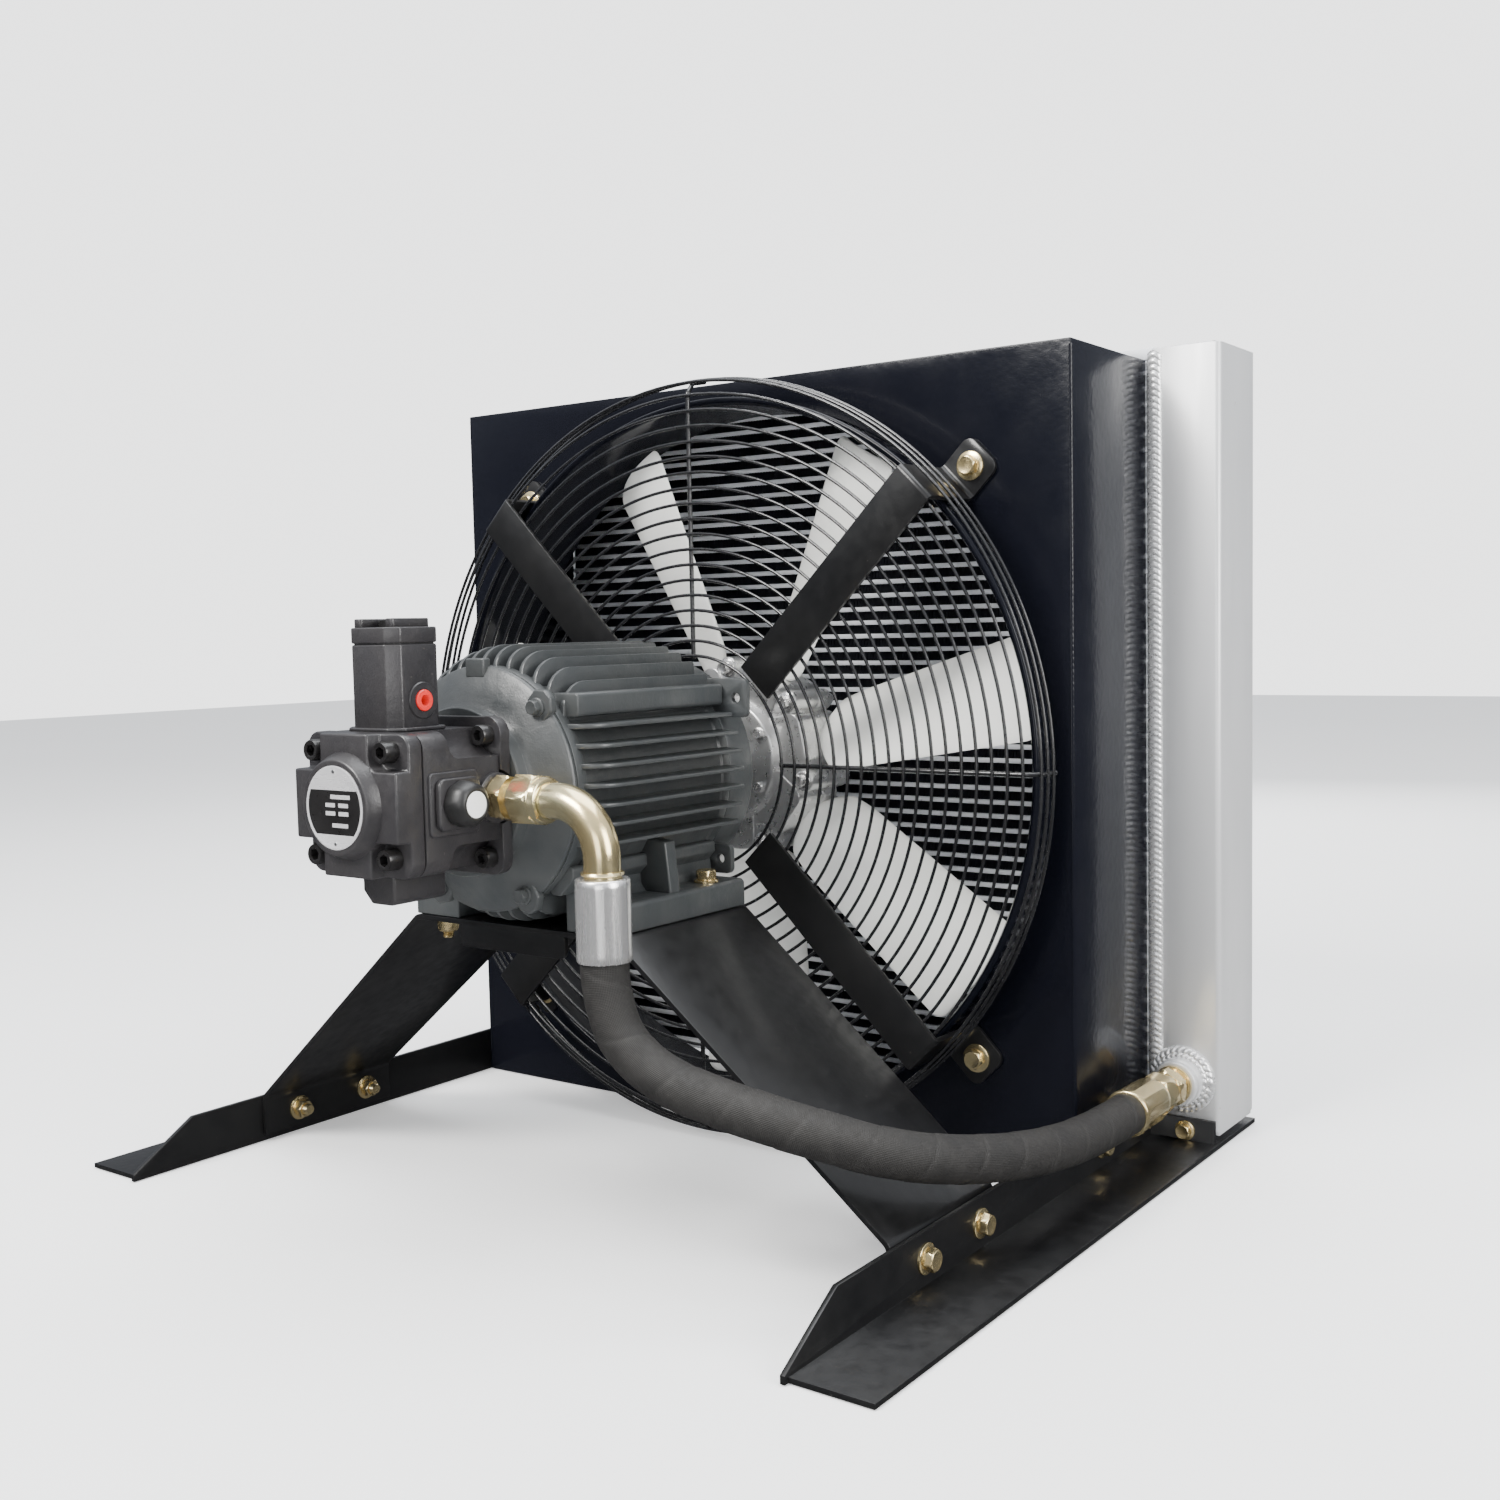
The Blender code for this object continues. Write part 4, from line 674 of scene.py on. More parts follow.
def circle(radius, steps):
    """The points of a circle in local X and Y, without the first one again at the end."""
    return [(radius * math.cos(TAU * i / steps), radius * math.sin(TAU * i / steps)) for i in range(steps)]


def ring_path(centre, radius, direction, steps=64):
    """A closed path round a centre, with its last point on its first one."""
    matrix = facing(direction, centre)
    spots = circle(radius, steps)
    return [matrix @ Vector((*spot, 0)) for spot in spots + spots[:1]]


def dress(node, finish):
    """A carried-over CAD node takes a finished material."""
    slots = frame["nodes"][node].material_slots
    if slots:
        for slot in slots:
            slot.material = LOOKS[finish]
    else:
        frame["nodes"][node].data.materials.append(LOOKS[finish])


def refined(node, finish, bevel, steps=2):
    """A copy of a CAD node with its edges rounded, which stands for the node."""
    shape = bmesh.new()
    shape.from_mesh(frame["nodes"][node].data)
    bmesh.ops.remove_doubles(shape, verts=shape.verts, dist=0.00002)
    bmesh.ops.dissolve_limit(shape, angle_limit=math.radians(1.0), verts=shape.verts, edges=shape.edges)
    build = Build()
    shape.verts.index_update()
    build.add([v.co.copy() for v in shape.verts], [tuple(v.index for v in f.verts) for f in shape.faces])
    shape.free()
    build.piece(f"{node}_body", finish, bevel=bevel, steps=steps, slot=None, node=node)


# ---------------------------------------------------------------- hose, with its fittings

HOSE_RADIUS = 0.018
HOSE_ROUTE = (
    (0.160, OUTLET_Y, 0.2390),
    (0.160, OUTLET_Y, 0.2300),
    (0.163, FRONT - 0.379, 0.2080),
    (0.171, FRONT - 0.377, 0.1860),
    (0.189, FRONT - 0.372, 0.1660),
    (0.214, FRONT - 0.364, 0.1520),
    (0.243, FRONT - 0.354, 0.1420),
    (0.276, FRONT - 0.341, 0.1320),
    (0.307, FRONT - 0.322, 0.1210),
    (0.334, FRONT - 0.295, 0.1080),
    (0.354, FRONT - 0.258, 0.0960),
    (0.367, FRONT - 0.212, 0.0850),
    (0.374, FRONT - 0.158, 0.0740),
    (0.378, FRONT - 0.098, 0.0650),
    (TANK_PORT_X, FRONT - 0.040, 0.0597),
    (TANK_PORT_X, FRONT + 0.012, 0.0580),
    (TANK_PORT_X, FRONT + 0.028, 0.0580),
)


def smooth_route(route, steps):
    """Points on a Catmull-Rom curve through the route. Its first and last stretches are straight."""
    points = [Vector(spot) for spot in route]
    line = [points[0]]
    for a, b, c, d in zip(points, points[1:], points[2:], points[3:]):
        for step in range(steps):
            t = step / steps
            bend = (2 * a - 5 * b + 4 * c - d) * t**2 + (3 * b - a - 3 * c + d) * t**3
            line.append(0.5 * (2 * b + (c - a) * t + bend))
    return line + points[-2:]


def evenly(line, spacing):
    """The same line with a point at every spacing."""
    lengths = [0.0]
    for a, b in zip(line, line[1:]):
        lengths.append(lengths[-1] + (b - a).length)
    count = max(2, round(lengths[-1] / spacing))
    return [point_at(line, lengths, lengths[-1] * i / count)[0] for i in range(count + 1)], lengths[-1]


def make_hose():
    """The hose's cloth wrap runs round it as a helix, and each turn steps up where it laps the turn before."""
    spacing = 0.0016
    line, length = evenly(smooth_route(HOSE_ROUTE, 12), spacing)
    pitch = 0.047
    lap = 0.00095

    def radius(row, angle):
        turns = (row * spacing / pitch + angle / TAU) % 1.0
        edge = min(1.0, turns / 0.025)
        dip = -0.00045 if turns > 0.965 else 0.0
        return HOSE_RADIUS - 0.0002 - lap + lap * edge * (1 - 0.45 * turns) + dip

    build = Build()
    count = 56
    build.tube(line, radius, count)
    hose = build.piece("hose_cover", "rubber", smooth=60)
    wrap_uv(hose.data, count, spacing)
    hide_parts("hose")


def wrap_uv(mesh, count, spacing):
    """UV in metres: along the hose, and around it."""
    layer = mesh.uv_layers.new(name="wrap")
    around = TAU * HOSE_RADIUS / count
    for face in mesh.polygons:
        rows = [mesh.loops[i].vertex_index // count for i in face.loop_indices]
        turns = [mesh.loops[i].vertex_index % count for i in face.loop_indices]
        seam = max(turns) - min(turns) > count // 2
        for i, row, turn in zip(face.loop_indices, rows, turns):
            layer.data[i].uv = (row * spacing, (turn + (count if seam and turn == 0 else 0)) * around)


def crimped(radius, flats, depth):
    """A swaged sleeve: flats pressed into it all round, with narrow lands between them."""
    return lambda angle: radius - depth * abs(math.cos(flats * angle / 2)) ** 0.6


def make_pump_side_fittings():
    low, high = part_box("outlet_adapter")
    centre = ((low.y + high.y) / 2, (low.z + high.z) / 2)
    build = Build()
    at = facing("+X", (low.x, *centre), math.radians(14))
    flat = hexagon(0.0156)
    build.stack((
        (0, 0.0145), (0.0012, 0.0146), (0.0022, lambda a: min(flat(a), 0.0164)), (0.0034, flat), (0.0140, flat),
        (0.0155, lambda a: min(flat(a), 0.0163)), (0.0155, 0.0128), (0.0238, 0.0128), (0.0238, 0.008),
    ), 60, at)
    build.piece("outlet_adapter_fitting", "zinc", node="outlet_adapter")
    low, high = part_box("hose_nut")
    at = facing("+X", (low.x, *centre), math.radians(22))
    nut = hexagon(0.0178)
    build = Build()
    build.stack((
        (0, 0.0150), (0.0004, lambda a: min(nut(a), 0.0184)), (0.0020, nut), (0.0176, nut),
        (0.0198, lambda a: min(nut(a), 0.0186)), (0.0205, 0.0172), (0.0262, 0.0168), (0.0268, 0.0158),
        (0.0268, 0.010),
    ), 60, at)
    build.piece("hose_nut_hexagon", "zinc", node="hose_nut")
    low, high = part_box("outlet_elbow")
    build = Build()
    bend = 0.040
    end_x = (high.x + low.x) / 2 + (high.x - low.x) / 2 - 0.0135
    path = [(low.x, centre[0], centre[1]), (low.x + 0.003, centre[0], centre[1])]
    for a, b in arc((end_x - bend, centre[1] - bend), bend, 90, 0, 28):
        path.append((a, centre[0], b))
    path += [(end_x, centre[0], low.z + 0.006), (end_x, centre[0], low.z)]
    build.tube(path, 0.01345, 40)
    build.stack(((0, 0.0134), (0, 0.0152), (0.0012, 0.0158), (0.0026, 0.0150), (0.0032, 0.0134)), 48,
                facing("-Z", (end_x, centre[0], low.z + 0.0044)), ring=True)
    build.piece("outlet_bent_tube", "zinc", node="outlet_elbow")
    low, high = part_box("pump_ferrule")
    length = high.z - low.z
    build = Build()
    radius = 0.0200
    sleeve = crimped(radius, 20, 0.00022)
    build.stack((
        (0, 0.0182), (0.0002, radius - 0.0006), (0.0012, radius), (0.0058, radius), (0.0085, sleeve),
        (length - 0.0075, sleeve), (length - 0.0055, radius - 0.0002), (length - 0.0010, radius - 0.0003),
        (length, radius - 0.0014), (length, 0.0146), (length - 0.0015, 0.0138),
    ), 128, facing("+Z", (end_x, centre[0], low.z)))
    build.piece("pump_ferrule_sleeve", "bright", smooth=50, node="pump_ferrule")


def make_tank_side_fittings():
    low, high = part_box("tank_ferrule")
    centre = ((low.x + high.x) / 2, (low.z + high.z) / 2)
    length = high.y - low.y
    build = Build()
    radius = 0.0200
    sleeve = crimped(radius, 12, 0.0009)
    build.stack((
        (0, 0.0182), (0.0002, radius - 0.0006), (0.0012, radius), (0.0050, radius), (0.0078, sleeve),
        (length - 0.0090, sleeve), (length - 0.0062, radius - 0.0010), (length - 0.0020, radius - 0.0016),
        (length, radius - 0.0030), (length, 0.012),
    ), 120, facing("+Y", (centre[0], low.y, centre[1])))
    build.piece("tank_ferrule_sleeve", "zinc", smooth=50, node="tank_ferrule")
    low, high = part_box("tank_adapter")
    build = Build()
    nut = hexagon(0.0164)
    face = CORE_LOW.y - 0.0203
    at = facing("+Y", (centre[0], low.y, centre[1]), math.radians(10))
    build.stack((
        (0, 0.0130), (0, 0.0158), (0.0016, lambda a: min(nut(a), 0.0172)), (0.0030, nut), (0.0200, nut),
        (0.0218, lambda a: min(nut(a), 0.0172)), (0.0220, 0.0150), (0.0245, 0.0150),
    ), 60, at)
    second = hexagon(0.0163)
    start = 0.0250
    end = face - low.y
    build.stack((
        (start, 0.0140), (start + 0.0010, lambda a: min(second(a), 0.0170)), (start + 0.0022, second),
        (start + 0.0120, second), (start + 0.0136, lambda a: min(second(a), 0.0168)), (start + 0.0138, 0.0150),
        (end - 0.004, 0.0150), (end - 0.0035, 0.0172), (end - 0.0008, 0.0172), (end - 0.0003, 0.0160),
        (end - 0.0003, 0.0118), (high.y - low.y, 0.0116),
    ), 60, facing("+Y", (centre[0], low.y, centre[1]), math.radians(31)))
    build.piece("tank_adapter_fitting", "zinc", node="tank_adapter")


# ---------------------------------------------------------------- cowl, collar, guard

def make_cowl():
    low, high = COWL_LOW, COWL_HIGH
    build = Build().box(low, high)
    sheet = 0.003
    room = Build().box(
        (low.x + sheet, low.y + sheet, low.z + sheet), (high.x - sheet, high.y + 0.02, high.z - sheet),
    )
    hole = Build().stack(((-0.01, 0.3293), (0.01, 0.3293)), 160, facing("-Y", (0, FRONT, AXIS_Z)))
    build.piece("cowl_shell", "gloss", bevel=0.0012, steps=3, cuts=(room, hole), node="cowl")
    seams = Build()
    for side in (-1, 1):
        x = side * (high.x - 0.0006)
        path = [(x, low.y + 0.0006, low.z + 0.02), (x, low.y + 0.0006, high.z - 0.004)]
        weld_bead(seams, path, 0.0030, 0.0003, Vector((side, -1, 0)).normalized(), 0.005, 0.5)
    seams.piece("cowl_corner_seams", "gloss")


def make_collar():
    low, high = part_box("fan_collar")
    depth = high.y - low.y
    inner, outer = 0.3263, 0.3289
    lip = [(0.0030 - 0.0030 * math.cos(math.radians(a)), outer + 0.0022 + 0.0026 * math.sin(math.radians(a)))
           for a in range(-60, 211, 30)]
    levels = [(depth, inner), (0.006, inner), (0.0026, inner + 0.0006), (0.0006, inner + 0.0022)]
    levels += [(h + 0.0002, r) for h, r in lip] + [(0.0075, outer), (depth, outer)]
    build = Build().stack(levels, 192, facing("+Y", (0, low.y, AXIS_Z)), ring=True)
    build.piece("fan_collar_rolled", "gloss", smooth=50, node="fan_collar")


def make_guard():
    """Round wires welded to four rods, and three rim wires that follow the rods back."""
    low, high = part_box("fan_guard")
    ring_y = FRONT - 0.0675
    first, last, count = 0.098, 0.3335, 18
    wire = 0.0015
    rings = [(first + (last - first) * i / (count - 1), ring_y) for i in range(count)]
    rings += [(0.3462, FRONT - 0.0600), (0.3480, FRONT - 0.0520), (0.3492, FRONT - 0.0440)]
    build = Build()
    for radius, y in rings:
        steps = 160 if radius > 0.2 else 112
        build.tube([(x, y, AXIS_Z + z) for x, z in circle(radius, steps)], wire, 8, closed=True)
    for turn in range(4):
        rod = [(first - 0.003, 0), (last + 0.002, 0), (0.3452, 0.0085), (0.3482, 0.0262)]
        line = rounded_path(rod, 0.006, 4)
        matrix = about_shaft(90 * turn) @ Matrix.Translation((0, ring_y + wire + 0.0010, 0))
        build.tube([(p[0], p[1], 0) for p in line], 0.0021, 10, matrix=matrix)
    build.piece("fan_guard_wires", "wire", smooth=60, node="fan_guard")


def make_arms():
    """Flat bars over the guard, bent back to the cowl and out to a tab with rounded corners."""
    thickness = 0.004
    half_width = 0.020
    corner = 0.009
    front = FRONT - 0.0735
    bend, end = 0.3405, 0.379
    tab = FRONT - 0.0003 - thickness
    path = rounded_path(((0.104, front), (bend, front), (bend + 0.001, tab), (end - corner, tab)), 0.0045, 5)
    outline = strip(path, thickness)
    count = len(path)
    rows = [(o, n, half_width) for o, n in zip(outline[:count], outline[count:][::-1])]
    tip_out, tip_in, _ = rows[-1]
    for degrees in (18, 36, 54, 72, 90):
        angle = math.radians(degrees)
        go = corner * math.sin(angle)
        rows.append((
            (tip_out[0] + go, tip_out[1]), (tip_in[0] + go, tip_in[1]),
            half_width - corner * (1 - math.cos(angle)),
        ))
    sections = [
        [Vector((o[0], o[1], -h)), Vector((o[0], o[1], h)), Vector((n[0], n[1], h)), Vector((n[0], n[1], -h))]
        for o, n, h in rows
    ]
    bolts = Build()
    for number, degrees in enumerate((45, 135, 225, 315), 1):
        build = Build().loft(sections, about_shaft(degrees))
        build.piece(f"guard_arm_{number}_bar", "satin", bevel=0.0006, steps=2, node=f"guard_arm_{number}")
        spot = about_shaft(degrees) @ Vector((0.361, tab, 0))
        hex_bolt(bolts, facing("-Y", spot, math.radians(degrees)), 0.0078, 0.0062, washer=0.0125)
    bolts.piece("guard_bolts", "zinc")


# ---------------------------------------------------------------- core and tanks

FIN_ROWS = 51
FIN_HEIGHT = 0.009
BAR_HEIGHT = 0.0045


def make_core():
    low, high = CORE_LOW, CORE_HIGH
    total = FIN_ROWS * FIN_HEIGHT + (FIN_ROWS - 1) * BAR_HEIGHT
    plate = (high.z - low.z - total) / 2
    bars = Build()
    levels = [(low.z, plate)] + [
        (low.z + plate + FIN_HEIGHT + i * (FIN_HEIGHT + BAR_HEIGHT), BAR_HEIGHT) for i in range(FIN_ROWS - 1)
    ] + [(high.z - plate, plate)]
    for z, height in levels:
        bars.box((low.x, low.y, z), (high.x, high.y, z + height))
    bars.piece("core_bars", "bar", bevel=0.0007, steps=2, node="cooler_core")
    sides = Build()
    for side in (-1, 1):
        ends = sorted((side * high.x, side * (high.x - 0.010)))
        sides.box((ends[0], low.y + 0.002, low.z + 0.001), (ends[1], high.y - 0.002, high.z - 0.001))
    sides.piece("core_side_bars", "bar")
    fins = Build()
    pitch = 0.0036
    folds = int((high.x - low.x - 0.020) / pitch)
    start = low.x + 0.010
    for row in range(FIN_ROWS):
        z = low.z + plate + row * (FIN_HEIGHT + BAR_HEIGHT)
        for y, into in ((low.y + 0.0015, 0.010), (high.y - 0.0015, -0.010)):
            zigzag(fins, start, pitch, folds, (y, y + into), z + 0.0002, z + FIN_HEIGHT - 0.0002)
        fins.box((start, low.y + 0.0125, z), (start + folds * pitch, high.y - 0.0125, z + FIN_HEIGHT))
    fins.piece("core_fins", "fin", smooth=20)


def zigzag(build, start, pitch, folds, ys, bottom, top):
    """One folded strip of fins between two bars."""
    wall = 0.00035
    outline = []
    back = []
    for fold in range(folds):
        x = start + fold * pitch
        outline += [(x, bottom), (x + pitch * 0.12, top), (x + pitch * 0.5, top), (x + pitch * 0.62, bottom)]
        back += [
            (x + wall * 1.6, bottom), (x + pitch * 0.12 + wall, top - wall),
            (x + pitch * 0.5 - wall, top - wall), (x + pitch * 0.62 - wall * 1.6, bottom),
        ]
    points = []
    for (x, z), (bx, bz) in zip(outline, back):
        points += [(x, ys[0], z), (x, ys[1], z), (bx, ys[1], bz), (bx, ys[0], bz)]
    faces = []
    rows = len(outline)
    for row in range(rows - 1):
        if row % 4 == 3:
            continue
        a, b = row * 4, row * 4 + 4
        faces += [(a + i, a + (i + 1) % 4, b + (i + 1) % 4, b + i) for i in range(4)]
    for row in range(0, rows, 4):
        faces.append((row * 4 + 3, row * 4 + 2, row * 4 + 1, row * 4))
        end = (row + 3) * 4
        faces.append((end, end + 1, end + 2, end + 3))
    build.add(points, faces)


def make_tank(name, side, port_z):
    low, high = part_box(name)
    near = min(abs(low.x), abs(high.x))
    outer = max(abs(low.x), abs(high.x))
    front, back = CORE_LOW.y, CORE_HIGH.y - 0.0030
    bottom, top = low.z, high.z - 0.0014
    radius = 0.005
    corners = ((near, front), (outer, front), (outer, back), (near, back))
    outline = rounded_path([(side * x, y) for x, y in corners], radius, 6)
    build = Build().prism([tuple(p) for p in outline], bottom + 0.004, top)
    ends = sorted((side * (near + 0.001), side * (outer - 0.0015)))
    build.box((ends[0], front + 0.003, bottom), (ends[1], back - 0.003, bottom + 0.005))
    boss_front = front - 0.020
    port_x = side * TANK_PORT_X
    boss = (
        (0, 0.0125), (0, 0.0190), (0.0008, 0.0200), (0.0046, 0.0202), (0.0052, 0.0188), (0.0060, 0.0188),
        (0.0068, 0.0214), (0.0206, 0.0218), (0.0206, 0.0125),
    )
    build.stack(boss, 72, facing("+Y", (port_x, boss_front, port_z)), ring=True)
    build.piece(f"{name}_shell", "aluminium", bevel=0.0006, steps=2, node=name)
    welds = Build()
    x = side * (near + 0.0012)
    ends = (bottom + 0.012, top - 0.002)
    weld_bead(welds, [(x, front, z) for z in ends], 0.0140, 0.0042, (0, -1, 0), 0.0056)
    weld_bead(welds, [(x, back, z) for z in ends], 0.0100, 0.0026, (0, 1, 0))
    z = bottom + 0.0062
    path = [(side * (near + 0.002), front, z), (side * (outer - 0.004), front, z)]
    weld_bead(welds, path, 0.008, 0.003, (0, -1, 0))
    path = [(side * (near + 0.002), front + 0.004, top), (side * (outer - 0.005), front + 0.004, top)]
    weld_bead(welds, path, 0.0060, 0.0010, (0, 0, 1), 0.0040)
    ring = ring_path((port_x, front - 0.0006, port_z), 0.0255, "-Y", 72)
    weld_bead(welds, ring, 0.0110, 0.0050, (0, -1, 0), 0.0056, 0.7)
    ring = ring_path((port_x, front - 0.0040, port_z), 0.0226, "-Y", 72)
    weld_bead(welds, ring, 0.0060, 0.0032, (0, -1, 0), 0.0050, 0.7)
    welds.piece(f"{name}_welds", "weld", smooth=60)


def make_outlet_plug():
    """A ribbed plug that sits inside the port, with a hollow in its end."""
    low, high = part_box("outlet_plug")
    centre = ((low.x + high.x) / 2, (low.z + high.z) / 2)
    length = high.y - low.y
    build = Build().stack((
        (0.0040, 0.0050), (0.0002, 0.0070), (0, 0.0078), (0, 0.0108), (0.0010, 0.0116), (0.0030, 0.0116),
        (0.0036, 0.0110), (0.0060, 0.0110), (0.0066, 0.0116), (0.0090, 0.0116), (0.0096, 0.0110),
        (length - 0.001, 0.0108), (length, 0.0098),
    ), 72, facing("+Y", (centre[0], low.y, centre[1])))
    build.piece("outlet_plug_cap", "red", node="outlet_plug")


# ---------------------------------------------------------------- base

RAIL_SHEET = 0.004
RAIL_BOLT_Z = 0.0235
RAIL_BOLT = (0.0076, 0.0060, 0.0115)  # half width across flats, height, washer radius


def make_rails():
    bolts = Build()
    for name, side in (("rail_left", -1), ("rail_right", 1)):
        refined(name, "satin", 0.0007)
        low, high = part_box(name)
        web = side * (RAIL_WEB_X + RAIL_SHEET)
        outward, inward = ("+X", "-X") if side > 0 else ("-X", "+X")
        for y in (FRONT - 0.261, FRONT - 0.179):
            turn = math.radians(11 + 200 * y)
            hex_bolt(bolts, facing(outward, (web, y, RAIL_BOLT_Z), turn), *RAIL_BOLT)
            spot = (side * (SADDLE_FOOT_X - SADDLE_SHEET), y, RAIL_BOLT_Z)
            hex_bolt(bolts, facing(inward, spot, math.radians(25)), 0.0076, 0.0070, 0.0115)
            thread(bolts, facing(inward, spot), 0.0048, 0.006, 0.0165)
        for y in (FRONT + 0.041, FRONT + 0.110):
            turn = math.radians(40 + 90 * y)
            hex_bolt(bolts, facing(outward, (web, y, RAIL_BOLT_Z), turn), *RAIL_BOLT)
        tab = CORE_LOW.y - GAP - RAIL_SHEET
        spot = (side * 0.3830, tab, 0.0128)
        hex_bolt(bolts, facing("-Y", spot, math.radians(12)), 0.0062, 0.0052, 0.0092)
    bolts.piece("rail_bolts", "zinc")


def make_saddle():
    """The bent sheet with round bends, and its front lip."""
    bend, flat, top = 0.043, 0.110, SADDLE_TOP
    right = ((SADDLE_FOOT_X, 0.006), (SADDLE_FOOT_X, bend), (flat, top))
    path = rounded_path(right + tuple((-x, z) for x, z in reversed(right)), 0.012, 6)
    outline = strip(path, SADDLE_SHEET)
    spans = ((FRONT - 0.300, FRONT - 0.312), (FRONT - 0.148, FRONT - 0.142))
    points = []
    for base, high in spans:
        for x, z in outline:
            part = min(1, max(0, (z - bend) / (top - bend)))
            points.append((x, base + part * (high - base), z))
    count = len(outline)
    faces = [(i, i + 1, count + i + 1, count + i) for i in range(count - 1)]
    faces.append((count - 1, 0, count, 2 * count - 1))
    for i in range(count // 2 - 1):
        a, b, c, d = i, i + 1, count - 2 - i, count - 1 - i
        faces.append((a, d, c, b))
        faces.append((count + a, count + b, count + c, count + d))
    build = Build().add(points, faces)
    build.piece("motor_saddle_sheet", "satin", bevel=0.0006, steps=2, node="motor_saddle")
    lip = Build().prism(
        rounded_rectangle(0.058, 0.0108, 0.006, (0, top - 0.0118), 4), 0.0, 0.0044,
        facing("-Y", (0, FRONT - 0.3073, 0)),
    )
    lip.piece("saddle_lip", "satin", bevel=0.0006)


# ---------------------------------------------------------------- motor

SIDE_FIN_HEIGHTS = (0.050, 0.035, 0.020, 0.005, -0.010, -0.025, -0.040)
FOOT_BOLT_YS = (FRONT - 0.2904, FRONT - 0.1764)
MOTOR_BASE = AXIS_Z - SHAFT_HEIGHT
FOOT_TOP = MOTOR_BASE + 0.023


def make_motor_frame():
    low, high = FRONT - 0.333, FRONT - 0.141
    base = MOTOR_BASE
    core_radius = 0.0950
    at = facing("-Y", (0, 0, AXIS_Z))
    body = Build().stack((
        (-high, 0.083), (-high, core_radius + 0.0015), (-high + 0.010, core_radius + 0.0015),
        (-high + 0.0115, core_radius), (-low - 0.0115, core_radius), (-low - 0.010, core_radius + 0.0022),
        (-low, core_radius + 0.0022), (-low, 0.083),
    ), 96, at, ring=True)
    body.piece("motor_barrel", "motor", bevel=0.0006, node="motor_frame")
    fins = Build()
    rows = [(z, 0, 0.1163) for z in SIDE_FIN_HEIGHTS] + [(-z, 180, 0.1163) for z in SIDE_FIN_HEIGHTS]
    rows += [((i - 5.5) * 0.0138, 90, 0.1133) for i in range(12)]
    rows += [((i - 3) * 0.0140, 270, 0.1095) for i in range(7)]
    for across, degrees, tip_radius in rows:
        root = math.sqrt(core_radius**2 - across**2) - 0.003
        tip = math.sqrt(tip_radius**2 - across**2)
        fin(fins, low + 0.004, high - 0.004, root, tip, across, degrees)
    fins.piece("motor_fins", "motor", bevel=0.0005)
    ledges = Build()
    for side in (-1, 1):
        outline = [(0.060, 0.055), (0.0885, 0.0575), (0.0905, 0.0595), (0.0905, 0.0735), (0.0885, 0.0755),
                   (0.052, 0.0755), (0.050, 0.060)]
        ledges.prism([(side * x, z) for x, z in outline], -high + 0.001, -low - 0.009, at)
        pad = [(0.052, -0.058), (0.0795, -0.058), (0.0815, -0.060), (0.0815, -0.0675), (0.0675, -0.0815),
               (0.060, -0.0815), (0.054, -0.0770)]
        ledges.prism([(side * x, z) for x, z in pad], -high + 0.004, -low - 0.008, at)
    ledges.piece("motor_ledges", "motor", bevel=0.0012, steps=3)
    feet = Build()
    for side in (-1, 1):
        foot = [
            (0.060, base), (0.110, base), (0.110, FOOT_TOP - 0.0025), (0.107, FOOT_TOP), (0.080, FOOT_TOP),
            (0.075, FOOT_TOP + 0.006), (0.073, FOOT_TOP + 0.028), (0.060, FOOT_TOP + 0.028),
        ]
        feet.prism([(side * x, z) for x, z in foot], 0.1425 - FRONT, 0.311 - FRONT, facing("-Y"))
        web = [
            (0.070, FOOT_TOP - 0.003), (0.105, FOOT_TOP - 0.003), (0.105, FOOT_TOP + 0.002),
            (0.1005, AXIS_Z - 0.048), (0.070, AXIS_Z - 0.044),
        ]
        for back, front in ((0.303, 0.311), (0.2235, 0.2365)):
            feet.prism([(side * x, z) for x, z in web], back - FRONT, front - FRONT, facing("-Y"))
    feet.piece("motor_feet", "motor", bevel=0.0014, steps=3)


def fin(build, front, back, root, tip, across, degrees):
    """A cooling fin with a long rounded front corner and a tapered thickness."""
    rise = tip - root
    run = 0.026
    top = [(front, root)]
    for a in range(0, 91, 15):
        angle = math.radians(a)
        y = front + 0.002 + run * (1 - math.cos(angle))
        top.append((y, root + 0.004 + (rise - 0.004) * math.sin(angle)))
    top += [(back - 0.003, tip), (back - 0.0008, tip - 0.002), (back, root)]
    points = []
    for side in (-1, 1):
        for y, r in top:
            part = (r - root) / rise
            points.append((r, y, across + side * (0.0022 - 0.0008 * part)))
    n = len(top)
    faces = [tuple(range(n)), tuple(reversed(range(n, 2 * n)))]
    faces += [(i, n + i, n + (i + 1) % n, (i + 1) % n) for i in range(n)]
    build.add(points, faces, about_shaft(degrees))


def lug(build, radius, span, degrees, width=0.0118, reach=0.018):
    """A cast block at a bell's rim, for one bolt."""
    outline = [
        (-reach, -width), (reach * 0.55, -width), (reach * 0.95, -width * 0.35),
        (reach * 0.95, width * 0.35), (reach * 0.55, width), (-reach, width),
    ]
    points = [(radius + a, y, b) for y in span for a, b in outline]
    n = len(outline)
    faces = [tuple(reversed(range(n))), tuple(range(n, 2 * n))]
    faces += [(i, (i + 1) % n, n + (i + 1) % n, n + i) for i in range(n)]
    build.add(points, faces, about_shaft(degrees))


def port_room():
    """Room for the outlet neck and adapter in the parts behind the pump body."""
    return Build().stack(((0.028, 0.0212), (0.090, 0.0212)), 48, facing("+X", (0, OUTLET_Y, AXIS_Z)))


